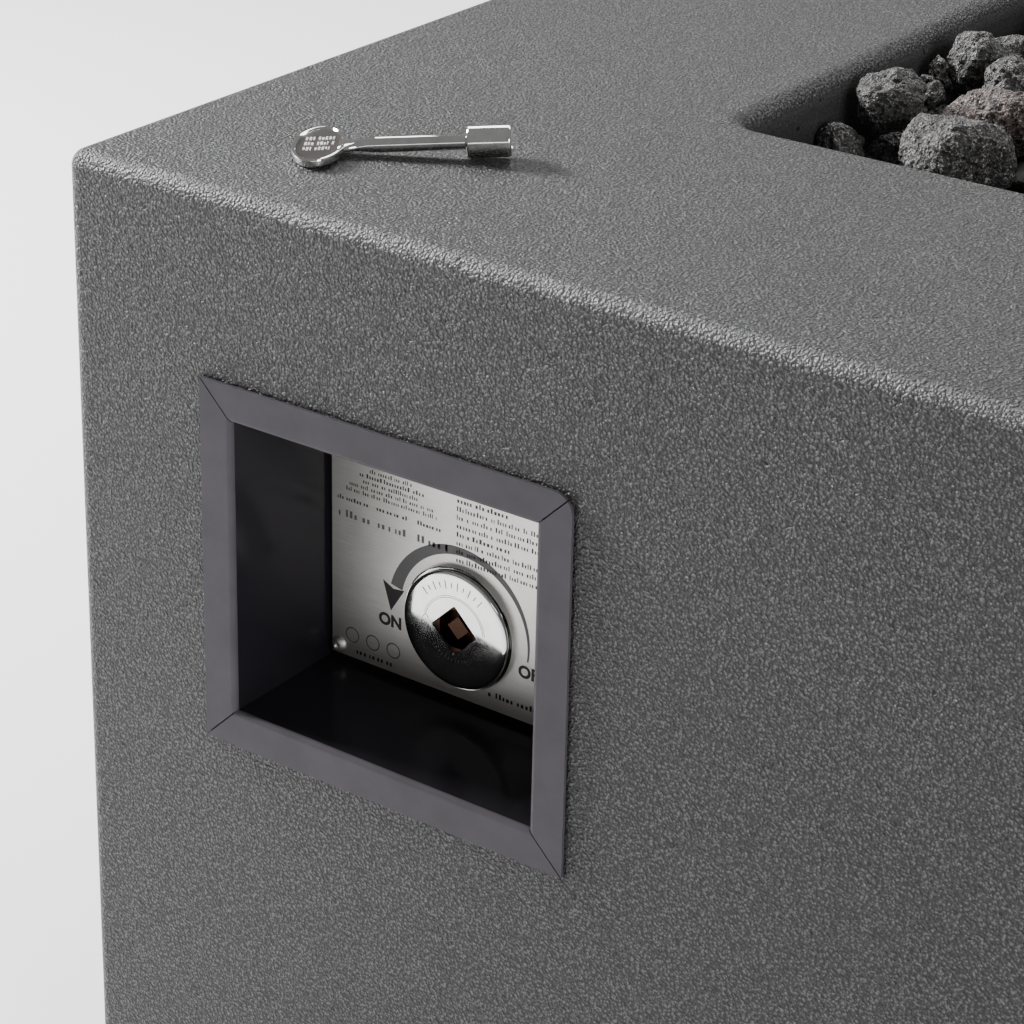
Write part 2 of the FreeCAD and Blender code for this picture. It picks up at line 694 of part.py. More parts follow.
# Key valve behind the panel, its stem and plug, and the escutcheon in front
def make_valve():
    length = size("valve_length")
    clearance = size("running_clearance")
    nose_front = plate_y - size("escutcheon_height") + size("escutcheon_face")
    nose = cylinder("valve_nose", size("nose_radius"), (valve_x, nose_front, valve_z), panel_back - nose_front, "y")
    barrel = cylinder("valve_barrel", size("valve_radius"), (valve_x, panel_back, valve_z), length, "y")
    boss_end = (valve_x, inlet_y, valve_z - size("boss_drop"))
    boss = cylinder("valve_boss", size("boss_radius"), (valve_x, inlet_y, valve_z), size("boss_drop"), "-z")
    thread, tip = male_flare("valve_inlet", boss_end, "-z")
    tools = [
        cylinder("key_bore", size("nose_bore"), (valve_x, nose_front, valve_z), bonnet_y - nose_front, "y"),
        cylinder("bonnet_bore", size("bonnet_radius"), (valve_x, bonnet_y, valve_z), size("bonnet_length"), "y"),
        cylinder("chamber", size("plug_radius") + clearance, (valve_x, chamber_y, valve_z), spigot_y - chamber_y, "y"),
        cylinder("cap_socket", size("cap_spigot"), (valve_x, spigot_y, valve_z), valve_end - spigot_y, "y"),
        cylinder("inlet_bore", size("gas_bore"), (valve_x, inlet_y, valve_z), size("boss_drop") + flare_reach, "-z"),
    ]
    node("valve_body", cut("valve_body", fuse("valve_blank", nose, barrel, boss, thread, tip), *tools))

    ring = cylinder("bonnet_ring", size("bonnet_radius"), (valve_x, bonnet_y, valve_z), size("bonnet_length"), "y")
    ring_bore = cylinder("bonnet_hole", size("stem_radius") + clearance, (valve_x, bonnet_y, valve_z), size("bonnet_length"), "y")
    node("valve_bonnet", cut("valve_bonnet", ring, ring_bore))

    square_front = plate_y - size("stem_front")
    half_square = size("stem_square") / 2
    square = box("stem_flats", (-half_square, -half_square, as_size(0)), (half_square, half_square, bonnet_y - square_front))
    place(square, (valve_x, square_front, valve_z), "y")
    square.Placement = FreeCAD.Placement(V(0, 0, 0), TURN["y"] * FreeCAD.Rotation(V(0, 0, 1), 45))
    diagonal = size("stem_square") / math.sqrt(2)
    place_corner(square, (valve_x, square_front, valve_z + diagonal))
    shaft = cylinder("stem_shaft", size("stem_radius"), (valve_x, bonnet_y, valve_z), plug_y - bonnet_y, "y")
    node("valve_stem", fuse("valve_stem", square, shaft))

    plug = cylinder("plug_blank", size("plug_radius"), (valve_x, plug_y, valve_z), size("plug_length"), "y")
    web = size("plug_length") / 5
    hollow = cylinder("plug_hollow", size("plug_bore"), (valve_x, plug_y + web, valve_z), size("plug_length") - web, "y")
    window = cylinder("plug_window", size("gas_bore"), (valve_x, inlet_y, valve_z), size("plug_radius") + 1, "z")
    node("valve_plug", cut("valve_plug", plug, hollow, window))

    nut_front = plate_y - size("lock_nut_height")
    nut = hexagon("lock_nut_blank", size("lock_nut_flats"), (valve_x, nut_front, valve_z), size("lock_nut_height"), "y")
    nut_bore = cylinder("lock_nut_bore", size("nose_radius"), (valve_x, nut_front, valve_z), size("lock_nut_height"), "y")
    node("valve_lock_nut", cut("valve_lock_nut", nut, nut_bore))

    spigot = cylinder("cap_spigot", size("cap_spigot"), (valve_x, spigot_y, valve_z), valve_end - spigot_y, "y")
    head = hexagon("cap_head", size("cap_flats"), (valve_x, valve_end, valve_z), size("cap_height"), "y")
    cap_end = (valve_x, valve_end + size("cap_height"), valve_z)
    thread, tip = male_flare("valve_outlet", cap_end, "y")
    reach = size("cap_height") + flare_reach + valve_end - spigot_y
    bore = cylinder("outlet_bore", size("gas_bore"), (valve_x, spigot_y, valve_z), reach, "y")
    node("valve_outlet_cap", cut("valve_outlet_cap", fuse("cap_blank", spigot, head, thread, tip), bore))

    height = size("escutcheon_height")
    face = size("escutcheon_radius")
    low = size("escutcheon_rim_height")
    inside = face - size("escutcheon_wall")
    profile = [
        (inside, 0), (size("escutcheon_rim"), 0), (size("escutcheon_rim"), 0.3 - low), (size("escutcheon_rim") - 0.2, 0 - low),
        (face + size("escutcheon_groove"), 0 - low), (face + size("escutcheon_groove"), 0 - low / 2),
        (face, 0 - low / 2), (face, 0.5 - height), (face - 0.5, 0 - height), (0, 0 - height),
        (0, size("escutcheon_face") - height), (inside, size("escutcheon_face") - height),
    ]
    disc = turned("escutcheon_disc", profile, (valve_x, plate_y, valve_z), "y")
    opening = box("key_opening", (as_size(0),) * 3, (size("key_opening"), size("key_opening"), height))
    opening.Placement = FreeCAD.Placement(V(0, 0, 0), TURN["y"] * FreeCAD.Rotation(V(0, 0, 1), 45))
    place_corner(opening, (valve_x, plate_y - height - 1, valve_z + size("key_opening") / math.sqrt(2)))
    node("escutcheon", cut("escutcheon", disc, opening))


def place_corner(item, point):
    for letter, value in zip("xyz", point):
        item.setExpression(f"Placement.Base.{letter}", as_size(value).text)


# Burner pan on the ledge, with the burner, its clamp and its air mixer
def make_burner():
    play = size("pan_clearance")
    sheet_of = size("pan_gauge")
    pan_under = pan_floor - sheet_of
    lip = doc.addObject("PartDesign::Body", "pan_lip")
    lip_plan = sketch(lip, "pan_lip_plan", "XY_Plane", ledge)
    rectangle(lip_plan, play - well_x, well_x - play, play - well_y, well_y - play)
    pad(lip, lip_plan, sheet_of)
    round_edges(lip, "pan_lip_corners", size("well_corner"), upright)
    tray_x = hole_x - play
    tray_y = hole_y - play
    outside = fuse(
        "pan_blank", lip,
        box("pan_tray", (-tray_x, -tray_y, pan_under), (tray_x, tray_y, ledge + sheet_of)),
    )
    hollow = box(
        "pan_hollow", (sheet_of - tray_x, sheet_of - tray_y, pan_floor),
        (tray_x - sheet_of, tray_y - sheet_of, ledge + sheet_of * 2),
    )
    hole = cylinder("pan_hole", size("nipple_radius") + size("thread_clearance"), (as_size(0), as_size(0), pan_under - 1), sheet_of + 2)
    weeps = [
        cylinder("weep_hole", size("weep_radius"), (x * tray_x * 0.9, y * tray_y * 0.8, pan_under - 1), sheet_of + 2)
        for x in (-1, 1) for y in (-1, 1)
    ]
    node("burner_pan", cut("burner_pan", outside, hollow, hole, *weeps))

    def tube_set(name, thinner, short):
        parts = [
            cylinder(name, size("burner_radius") - thinner, (short - tube_end, y, tube_z), size("burner_length") - short * 2, "x")
            for y in (-tube_y, tube_y)
        ]
        across = size("burner_cross_radius") - thinner
        return parts + [cylinder(name, across, (as_size(0), -tube_y, tube_z), size("burner_spacing"), "y")]

    hub = cylinder("burner_hub", size("hub_radius"), (as_size(0), as_size(0), pan_floor), size("hub_height"))
    blank = fuse("burner_blank", hub, *tube_set("burner_tube", as_size(0), as_size(0)))
    ports = []
    count = int(float(size("burner_length")) / float(size("port_pitch"))) - 1
    for i in range(count):
        x = (i - (count - 1) / 2) * size("port_pitch")
        for y in (-tube_y, tube_y):
            ports.append(cylinder("gas_port", size("port_radius"), (x, y, tube_z), size("burner_radius") + 1))
    socket = cylinder("hub_socket", size("nipple_radius") + size("thread_clearance"), (as_size(0), as_size(0), pan_floor), size("nipple_grip"))
    way = cylinder("hub_way", size("nipple_radius") - size("nipple_wall"), (as_size(0), as_size(0), pan_floor), size("hub_height") / 2 + 6)
    bores = tube_set("burner_bore", size("burner_wall"), size("burner_wall"))
    node("burner_manifold", cut("burner_manifold", blank, socket, way, group("gas_ports", *ports), *bores))

    saddles = []
    for x in (-1, 1):
        for y in (-1, 1):
            middle = x * tube_end * size("saddle_share")
            half = size("saddle_width") / 2
            reach = size("burner_radius") + size("saddle_side")
            block = box("saddle_block", (middle - half, y * tube_y - reach, pan_floor), (middle + half, y * tube_y + reach, tube_z))
            seat = cylinder("saddle_seat", size("burner_radius"), (middle - half - 1, y * tube_y, tube_z), size("saddle_width") + 2, "x")
            saddles.append(cut("saddle", block, seat))
    node("burner_saddles", group("burner_saddles", *saddles))

    nipple_low = mixer_top - size("nipple_grip")
    nipple_high = pan_floor + size("nipple_grip")
    pipe = cylinder("nipple_blank", size("nipple_radius"), (as_size(0), as_size(0), nipple_low), nipple_high - nipple_low)
    core = cylinder("nipple_bore", size("nipple_radius") - size("nipple_wall"), (as_size(0), as_size(0), nipple_low), nipple_high - nipple_low)
    node("burner_nipple", cut("burner_nipple", pipe, core))
    nut_low = pan_under - size("pan_nut_height")
    nut = hexagon("pan_nut_blank", size("pan_nut_flats"), (as_size(0), as_size(0), nut_low), size("pan_nut_height"))
    bore = cylinder("pan_nut_bore", size("nipple_radius") + size("thread_clearance"), (as_size(0), as_size(0), nut_low), size("pan_nut_height"))
    node("burner_lock_nut", cut("burner_lock_nut", nut, bore))

    centre = (as_size(0), as_size(0), mixer_z)
    barrel = cylinder("mixer_barrel", size("mixer_radius"), centre, size("mixer_length"))
    thread, tip = male_flare("mixer_inlet", centre, "-z")
    base = mixer_z + size("mixer_base")
    tube = cylinder("mixer_tube", size("mixer_bore"), (as_size(0), as_size(0), base), size("mixer_length"))
    socket = cylinder("mixer_socket", size("nipple_radius") + size("thread_clearance"), (as_size(0), as_size(0), nipple_low), size("nipple_grip") + 1)
    half_window = size("window_width") / 2
    reach = size("mixer_radius") + 1
    window_low = base + size("orifice_height") / 2
    window = box("air_window", (-reach, -half_window, window_low), (reach, half_window, window_low + size("window_height")))
    way = cylinder("mixer_way", size("gas_bore"), (as_size(0), as_size(0), mixer_z - flare_reach), size("mixer_base") + flare_reach)
    node("air_mixer", cut("air_mixer", fuse("mixer_blank", barrel, thread, tip), tube, socket, window, way))
    jet_low = base
    jet = hexagon("jet_hexagon", size("orifice_radius") * 2.6, (as_size(0), as_size(0), jet_low), size("orifice_height") / 2)
    jet_tip = cylinder("jet_tip", size("orifice_radius"), (as_size(0), as_size(0), jet_low), size("orifice_height"))
    jet_foot = cylinder("jet_foot", size("gas_bore"), (as_size(0), as_size(0), base - size("mixer_base") / 2), size("mixer_base") / 2)
    jet_hole = cylinder("jet_hole", size("orifice_hole"), (as_size(0), as_size(0), base - size("mixer_base")), size("mixer_base") + size("orifice_height") + 1)
    node("gas_orifice", cut("gas_orifice", fuse("jet_blank", jet, jet_tip, jet_foot), jet_hole))


# Tubes along routes of straight runs joined by tangent arcs
def route_wire(points, radius_of):
    points = [V(*[float(c) for c in p]) for p in points]
    edges = []
    start = points[0]
    radii = []
    for i in range(1, len(points) - 1):
        before = points[i - 1] - points[i]
        after = points[i + 1] - points[i]
        turn = math.pi - before.getAngle(after)
        radius = radius_of(before.Length, after.Length, turn)
        radii.append(round(radius, 1))
        reach = radius * math.tan(turn / 2)
        first = points[i] + before.normalize() * reach
        last = points[i] + after.normalize() * reach
        inward = (before + after).normalize()
        middle = points[i] + inward * (radius / math.cos(turn / 2) - radius)
        edges.append(Part.LineSegment(start, first).toShape())
        edges.append(Part.Arc(first, middle, last).toShape())
        start = last
    edges.append(Part.LineSegment(start, points[-1]).toShape())
    return Part.Wire(edges), radii


def tube(label, wire, radius, thickness):
    start = wire.Edges[0].valueAt(wire.Edges[0].FirstParameter)
    heading = wire.Edges[0].tangentAt(wire.Edges[0].FirstParameter)

    def swept(r):
        ring = Part.Wire(Part.Circle(start, heading, r).toShape())
        return wire.makePipeShell([ring], True, False)

    outer = swept(float(radius))
    inner = swept(float(radius) - float(thickness))
    expected = math.pi * (float(radius) ** 2 - (float(radius) - float(thickness)) ** 2) * wire.Length
    item = doc.addObject("Part::Feature", label)
    item.Shape = outer.cut(inner)
    print(f"{label}: length {wire.Length:.1f}, volume {item.Shape.Volume:.0f}, expected {expected:.0f}")
    return node(label, item)


# Gas inlet at the back, supply pipe to the valve, hose to the air mixer
def make_gas_line():
    edge = size("inlet_plate_edge")
    half = size("inlet_plate_width") / 2
    sheet_of = size("inlet_plate_gauge")
    plate = box("inlet_sheet", (valve_x - half, inlet_plate_y, plate_low), (valve_x + half, inner_y, plate_high))
    shank_hole = cylinder("inlet_hole", size("inlet_shank"), (valve_x, inlet_plate_y, inlet_z), sheet_of, "y")
    spots = [
        (valve_x + side * plate_screw_x, inlet_plate_y, z)
        for side in (-1, 1) for z in (plate_low + edge, plate_screw_z)
    ]
    holes = [cylinder("plate_screw_hole", size("wood_screw"), spot, sheet_of, "y") for spot in spots]
    node("inlet_plate", cut("inlet_plate", plate, shank_hole, *holes))
    node("inlet_plate_screws", group("inlet_plate_screws", *[wall_screw(spot, "y", sheet_of) for spot in spots]))

    hex_y = inlet_plate_y - size("inlet_hex")
    hexa = hexagon("inlet_hexagon", size("inlet_flats"), (valve_x, hex_y, inlet_z), size("inlet_hex"), "y")
    shank = cylinder("inlet_shank", size("inlet_shank"), (valve_x, inlet_plate_y, inlet_z), size("inlet_shank_length"), "y")
    out_y = inlet_plate_y + size("inlet_shank_length")
    thread, tip = male_flare("inlet_outer", (valve_x, out_y, inlet_z), "y")
    inner_thread, inner_tip = male_flare("inlet_inner", (valve_x, hex_y, inlet_z), "-y")
    low = hex_y - flare_reach
    bore = cylinder("inlet_way", size("gas_bore"), (valve_x, low, inlet_z), out_y + flare_reach - low, "y")
    blank = fuse("inlet_blank", hexa, shank, thread, tip, inner_thread, inner_tip)
    node("gas_inlet_fitting", cut("gas_inlet_fitting", blank, bore))
    nut = hexagon("inlet_nut_blank", size("inlet_flats"), (valve_x, inner_y, inlet_z), size("inlet_nut_height"), "y")
    nut_bore = cylinder("inlet_nut_bore", size("inlet_shank") + size("thread_clearance"), (valve_x, inner_y, inlet_z), size("inlet_nut_height"), "y")
    node("inlet_lock_nut", cut("inlet_lock_nut", nut, nut_bore))

    boss_z = valve_z - size("boss_drop")
    flare_nut("supply_nut_valve", (valve_x, inlet_y, boss_z), "-z", size("pipe_radius"))
    flare_nut("supply_nut_inlet", (valve_x, hex_y, inlet_z), "-y", size("pipe_radius"))
    route = [
        (valve_x, inlet_y, boss_z - flare_reach), (valve_x, inlet_y, inlet_z), (valve_x, low, inlet_z),
    ]
    wire, radii = route_wire(route, lambda a, b, turn: float(size("pipe_bend")))
    print("supply pipe radii", radii)
    tube("supply_pipe", wire, size("pipe_radius"), size("pipe_wall"))

    cap_end = (valve_x, valve_end + size("cap_height"), valve_z)
    flare_nut("hose_nut_valve", cap_end, "y", size("hose_radius"))
    flare_nut("hose_nut_mixer", (as_size(0), as_size(0), mixer_z), "-z", size("hose_radius"))
    hose_start = along(cap_end, "y", flare_reach)
    hose_end = (as_size(0), as_size(0), mixer_z - flare_reach)
    first_run = 120
    last_run = 105
    points = [
        hose_start, along(hose_start, "y", first_run),
        (hose_start[0] * 0.84, hose_end[1] + 26, hose_start[2] - 34),
        (hose_start[0] * 0.58, hose_end[1] + 44, hose_end[2] - last_run + 10),
        (hose_start[0] * 0.3, hose_end[1] + 22, hose_end[2] - last_run - 10),
        along(hose_end, "-z", last_run), hose_end,
    ]
    wire, radii = route_wire(points, lambda a, b, turn: 0.45 * min(a, b) / math.tan(turn / 2))
    print("burner hose radii", radii)
    tube("burner_hose", wire, size("hose_radius"), size("hose_wall"))


# Levelling feet in threaded inserts
def make_feet():
    inserts = []
    for name, x, y in FEET:
        sleeve = cylinder("insert_sleeve", size("insert_radius"), (x, y, lift), size("insert_length"))
        bore = cylinder("insert_bore", size("stud_radius") + size("running_clearance"), (x, y, lift), size("insert_length"))
        inserts.append(cut("foot_insert", sleeve, bore))
        collar_top = lift - size("foot_stop_gap")
        pad_top = size("foot_height")
        collar = hexagon("foot_collar", size("foot_collar") * math.sqrt(3), (x, y, pad_top), collar_top - pad_top)
        stud = cylinder("foot_thread", size("stud_radius"), (x, y, pad_top), lift + size("stud_length") - pad_top)
        node("foot_stud_" + name, fuse("foot_stud_" + name, collar, stud))
        low = size("foot_height") / 3
        disc = cylinder("foot_disc", size("foot_radius"), (x, y, as_size(0)), low)
        slope = cone("foot_slope", size("foot_radius"), size("foot_radius") * 0.6, (x, y, low), pad_top - low)
        node("foot_pad_" + name, fuse("foot_pad_" + name, disc, slope))
    node("foot_inserts", group("foot_inserts", *inserts))


# Key, built along its own shaft (Z) from the middle of its head and then laid on the top face
def make_key():
    half_head = size("key_head_length") / 2
    reach = size("key_length") - half_head
    thick = size("key_head_thickness")

    def oval(name, shrink, low, high):
        ring = doc.addObject("Part::Ellipse", name)
        bind(ring, MajorRadius=size("key_head_width") / 2 - shrink, MinorRadius=half_head - shrink)
        ring.Placement = FreeCAD.Placement(V(0, 0, 0), TURN["-y"])
        ring.setExpression("Placement.Base.y", as_size(high).text)
        solid = doc.addObject("Part::Extrusion", name + "_solid")
        solid.Base = ring
        solid.DirMode = "Custom"
        solid.Dir = V(0, -1, 0)
        bind(solid, LengthFwd=as_size(high) - low)
        solid.Solid = True
        return solid

    plate = oval("head_oval", as_size(0), -thick / 2, thick / 2)
    depth = size("key_recess")
    upper = oval("head_recess_upper", size("key_rim"), thick / 2 - depth, thick / 2 + 1)
    lower = oval("head_recess_lower", size("key_rim"), -thick / 2 - 1, depth - thick / 2)
    neck = half_head + size("key_neck")
    barrel_start = reach - size("key_barrel_length")
    chamfer = size("key_barrel_chamfer")
    profile = [
        (0, half_head - 1.2), (size("key_neck_radius") * 0.6, half_head - 1.2), (size("key_neck_radius"), half_head + 1),
        (size("key_shaft"), neck), (size("key_shaft"), barrel_start - 1.2),
        (size("key_shaft") + 0.6, barrel_start), (size("key_barrel") - chamfer, barrel_start),
        (size("key_barrel"), barrel_start + chamfer), (size("key_barrel"), reach - chamfer),
        (size("key_barrel") - chamfer, reach), (0, reach),
    ]
    shaft = turned("key_shaft_turned", profile, (as_size(0),) * 3, "z")
    web = doc.addObject("PartDesign::Body", "key_web")
    fork = sketch(web, "key_fork", "XZ_Plane")
    widths = (
        (size("key_fork"), half_head - 2.6), (size("key_fork") * 0.62, half_head), (size("key_fork") * 0.42, half_head + 2.4),
        (size("key_neck_radius") + 0.3, half_head + 5.6), (size("key_neck_radius"), neck),
    )
    polygon(fork, list(widths) + [(0 - w, z) for w, z in reversed(widths)])
    pad(web, fork, thick).Midplane = True
    half_socket = size("key_socket") / 2
    socket = box("key_socket", (-half_socket, -half_socket, reach - size("key_socket_depth")), (half_socket, half_socket, reach + 1))
    key = cut("valve_key", fuse("key_blank", cut("key_head", plate, upper, lower), web, shaft), socket)

    # It lies on the far edge of its head and on the near edge of its barrel.
    shoulder = size("key_length") - size("key_barrel_length") + chamfer
    rise = math.atan2(float(size("key_barrel") - thick / 2), float(shoulder))
    low_point = float(half_head) * math.sin(rise) + float(thick / 2) * math.cos(rise)
    upright_key = FreeCAD.Rotation(V(0, 1, 0), V(0, 0, 1), V(1, 0, 0), "XYZ")
    tilt = FreeCAD.Rotation(V(0, -1, 0), math.degrees(rise))
    yaw = FreeCAD.Rotation(V(0, 0, 1), float(size("key_yaw")))
    key.Placement = FreeCAD.Placement(V(0, 0, 0), yaw.multiply(tilt).multiply(upright_key))
    spot = (size("key_head_left") - half_length, front + size("key_head_back"), top + size("key_lift") + low_point)
    place_corner(key, spot)
    node("valve_key", key)


# Lava rocks: every rock is a convex solid, cut from its own round lump by the planes between it and its
# neighbours, so that the heap fills the well and no rock runs into another or into what carries it.
# Near the well's front left corner they lie as the photograph shows them. A row here holds the lump's middle
# from the well's left and front walls and below the top face, and then its reach along x, y and z.
SEEN_ROCKS = (
    (15.5, 82, 8, 15, 14, 16), (9, 56, 23, 10, 9, 10), (56, 61, 17, 25, 22, 19), (50, 98, 13, 24, 17, 13),
    (22, 141, 9, 11, 12, 14), (42, 128, 9, 15, 15, 14), (5, 112, 11, 6, 5, 5), (14, 114, 12, 5, 5, 6),
    (19, 110, 14, 5, 5, 6), (10, 136, 13, 6, 7, 7), (14, 118, 37, 15, 19, 23), (26, 28, 52, 18, 16, 12),
    (30, 58, 50, 14, 16, 12), (13, 90, 44, 15, 15, 20), (10, 30, 38, 11, 10, 9),
)
SEEN_REACH = (96, 165)


def clipped(faces, normal, limit):
    """Keep the part of a convex solid on the near side of the plane normal . p = limit."""
    kept = []
    rim = []
    for face in faces:
        out = []
        for a, b in zip(face, face[1:] + face[:1]):
            over_a = normal.dot(a) - limit
            over_b = normal.dot(b) - limit
            if over_a <= 0:
                out.append(a)
            if over_a * over_b < 0:
                crossing = a + (b - a) * (over_a / (over_a - over_b))
                out.append(crossing)
                rim.append(crossing)
        if len(out) > 2:
            kept.append(out)
    if len(rim) < 3:
        return kept
    middle = sum(rim, V()) * (1 / len(rim))
    across = (rim[0] - middle).normalize()
    up = normal.cross(across)
    rim.sort(key=lambda p: math.atan2((p - middle).dot(up), (p - middle).dot(across)))
    cap = [p for p, q in zip(rim, rim[1:] + rim[:1]) if p.distanceToPoint(q) > 1e-6]
    if len(cap) > 2:
        kept.append(cap)
    return kept


def block_faces(low, high):
    corners = [V(x, y, z) for x in (low.x, high.x) for y in (low.y, high.y) for z in (low.z, high.z)]
    rings = ((0, 1, 3, 2), (4, 6, 7, 5), (0, 4, 5, 1), (2, 3, 7, 6), (0, 2, 6, 4), (1, 5, 7, 3))
    return [[corners[i] for i in ring] for ring in rings]


def plane_off_box(point, low, high, seat):
    """The plane that keeps a lump round point off a box: outward normal and limit for clipped."""
    best = None
    for letter in "xyz":
        here = getattr(point, letter)
        unit = V(*[1.0 if letter == name else 0.0 for name in "xyz"])
        for away, edge in ((here - getattr(high, letter), high), (getattr(low, letter) - here, low)):
            if best is None or away > best[0]:
                sign = -1 if edge is high else 1
                best = (away, unit * sign, sign * getattr(edge, letter) - seat)
    return best[1], best[2]


def plane_off_tube(point, low, high, radius, seat):
    """The plane that keeps a lump off a level tube between its two ends."""
    axis = (high - low).normalize()
    side = point - low
    side = side - axis * side.dot(axis)
    normal = side.normalize() * -1
    return normal, normal.dot(low) - radius - seat


def rock_lumps():
    draw = random.Random(int(float(size("rock_seed"))))
    pitch = float(size("rock_pitch"))
    stray = pitch * float(size("rock_jitter"))
    low_top = float(size("rock_top_low"))
    high_top = float(size("rock_top_high"))
    rim = float(top)
    corner = V(-float(well_x), -float(well_y), 0)
    lumps = []
    for x, y, drop, a, b, c in SEEN_ROCKS:
        lumps.append((V(x, y, rim - drop) + corner, V(a, b, c), 0.0))
    rows = int(round(2 * float(well_y) / (pitch * 0.87)))
    row_pitch = (2 * float(well_y) - pitch * 0.8) / (rows - 1)
    columns = int(round(2 * float(well_x) / pitch))
    for row in range(rows):
        for column in range(columns):
            shift = pitch / 2 if row % 2 else 0
            x = pitch * 0.4 + column * pitch + shift + draw.uniform(-stray, stray)
            y = pitch * 0.4 + row * row_pitch + draw.uniform(-stray, stray)
            reach = pitch * draw.uniform(0.46, 0.64)
            height = reach * draw.uniform(0.75, 1.0)
            summit = rim + draw.uniform(-low_top, high_top)
            if x > 2 * float(well_x) - 12 or x < 12 or (x < SEEN_REACH[0] and y < SEEN_REACH[1]):
                continue
            y = min(max(y, 14), 2 * float(well_y) - 14)
            lumps.append((V(x, y, summit - height) + corner, V(reach, reach * draw.uniform(0.85, 1.1), height), 1.0))
    big = list(lumps)
    chip = float(size("chip_radius"))
    while len(lumps) < len(big) * 1.45:
        x = draw.uniform(12, 2 * float(well_x) - 12)
        y = draw.uniform(12, 2 * float(well_y) - 12)
        reach = chip * draw.uniform(0.7, 1.25)
        if x < SEEN_REACH[0] and y < SEEN_REACH[1]:
            continue
        spot = V(x, y, rim - draw.uniform(3, 13)) + corner
        gaps = [spot.distanceToPoint(V(p.x, p.y, spot.z)) - r.x * 0.55 - reach * 0.6 for p, r, deep in lumps]
        if min(gaps) > 0:
            lumps.append((spot, V(reach, reach, reach), 0.0))
    return lumps, draw


def power(point, reach, other, other_reach):
    """Plane between two lumps: unit normal from the first to the second, and its distance from the first."""
    way = other - point
    span = way.Length
    r = (reach.x + reach.y + reach.z) / 3
    s = (other_reach.x + other_reach.y + other_reach.z) / 3
    return way * (1 / span), (span * span + r * r - s * s) / (2 * span)


def make_rocks():
    lumps, draw = rock_lumps()
    gap = float(size("rock_gap")) / 2
    seat = float(size("rock_seat"))
    r_tube = float(size("burner_radius"))
    floor = float(pan_floor) + seat
    flange_top = float(ledge + size("pan_gauge"))
    tray_x = float(hole_x - size("pan_clearance") - size("pan_gauge"))
    tray_y = float(hole_y - size("pan_clearance") - size("pan_gauge"))
    wide_x = float(well_x)
    wide_y = float(well_y)
    level = float(tube_z)
    end = float(tube_end)
    side = float(tube_y)
    tubes = [(V(-end, y, level), V(end, y, level)) for y in (-side, side)]
    tubes.append((V(0, -side, level), V(0, side, level)))
    r_hub = float(size("hub_radius"))
    blocks = [(V(-r_hub, -r_hub, floor - 5), V(r_hub, r_hub, float(pan_floor + size("hub_height"))))]
    half = float(size("saddle_width")) / 2
    spread = float(size("burner_radius") + size("saddle_side"))
    for x in (-1, 1):
        for y in (-1, 1):
            middle = V(x * end * float(size("saddle_share")), y * side, 0)
            blocks.append((middle + V(-half, -spread, floor - 5), middle + V(half, spread, level)))
    for sign in (-1, 1):
        x_low, x_high = sorted((sign * tray_x, sign * (wide_x + 20)))
        y_low, y_high = sorted((sign * tray_y, sign * (wide_y + 20)))
        blocks.append((V(x_low, -wide_y - 20, floor - 20), V(x_high, wide_y + 20, flange_top)))
        blocks.append((V(-wide_x - 20, y_low, floor - 20), V(wide_x + 20, y_high, flange_top)))
    r_corner = float(size("well_corner"))

    kinds = {"lava_rock_large": [], "lava_rock_medium": [], "lava_rock_small": []}
    for index, (point, reach, deep) in enumerate(lumps):
        foot = point.z - floor if deep else reach.z
        room = max(reach.x, reach.y, reach.z) + 8
        low = V(point.x - room, point.y - room, max(floor, point.z - max(foot, room)))
        faces = block_faces(low, V(point.x + room, point.y + room, point.z + room))
        planes = []
        for unit in (V(1, 0, 0), V(-1, 0, 0)):
            planes.append((unit, wide_x - seat))
        for unit in (V(0, 1, 0), V(0, -1, 0)):
            planes.append((unit, wide_y - seat))
        for turn in (22.5, 45, 67.5):
            for sx in (-1, 1):
                for sy in (-1, 1):
                    unit = V(sx * math.cos(math.radians(turn)), sy * math.sin(math.radians(turn)), 0)
                    centre = V(sx * (wide_x - r_corner), sy * (wide_y - r_corner), 0)
                    planes.append((unit, unit.dot(centre) + r_corner - seat))
        planes += [plane_off_box(point, a, b, seat) for a, b in blocks if point.distanceToPoint((a + b) * 0.5) < 9999]
        planes += [plane_off_tube(point, a, b, r_tube, seat) for a, b in tubes]
        for other, (spot, size_of, unused) in enumerate(lumps):
            if other != index and point.distanceToPoint(spot) < 120:
                unit, distance = power(point, reach, spot, size_of)
                planes.append((unit, unit.dot(point) + distance - gap))
        count = 17
        phase = draw.uniform(0, 6.28)
        for k in range(count):
            rise = 1 - 2 * (k + 0.5) / count + draw.uniform(-0.06, 0.06)
            rise = max(-1.0, min(1.0, rise))
            turn = phase + 2.39996 * k + draw.uniform(-0.25, 0.25)
            flat = math.sqrt(1 - rise * rise)
            unit = V(flat * math.cos(turn), flat * math.sin(turn), rise)
            tall = foot if rise < 0 else reach.z
            span = math.sqrt((unit.x * reach.x) ** 2 + (unit.y * reach.y) ** 2 + (unit.z * tall) ** 2)
            planes.append((unit, unit.dot(point) + span * draw.uniform(0.88, 1.02)))
        for unit, limit in planes:
            faces = clipped(faces, unit, limit)
        if len(faces) < 4:
            continue
        shell = Part.Shell([Part.Face(Part.makePolygon(face + face[:1])) for face in faces])
        rock = Part.Solid(shell)
        if rock.Volume < 0:
            rock.reverse()
        if rock.Volume < 120:
            continue
        width = rock.Volume ** (1 / 3)
        kind = "large" if width > 33 else "medium" if width > 21 else "small"
        kinds["lava_rock_" + kind].append(rock)
    for label, rocks in kinds.items():
        item = doc.addObject("Part::Feature", label)
        item.Shape = Part.makeCompound(rocks)
        node(label, item)
        print(label, len(rocks))


make_shell()
make_valve_box()
make_valve()
make_burner()
make_gas_line()
make_feet()
make_key()
make_rocks()
doc.recompute()

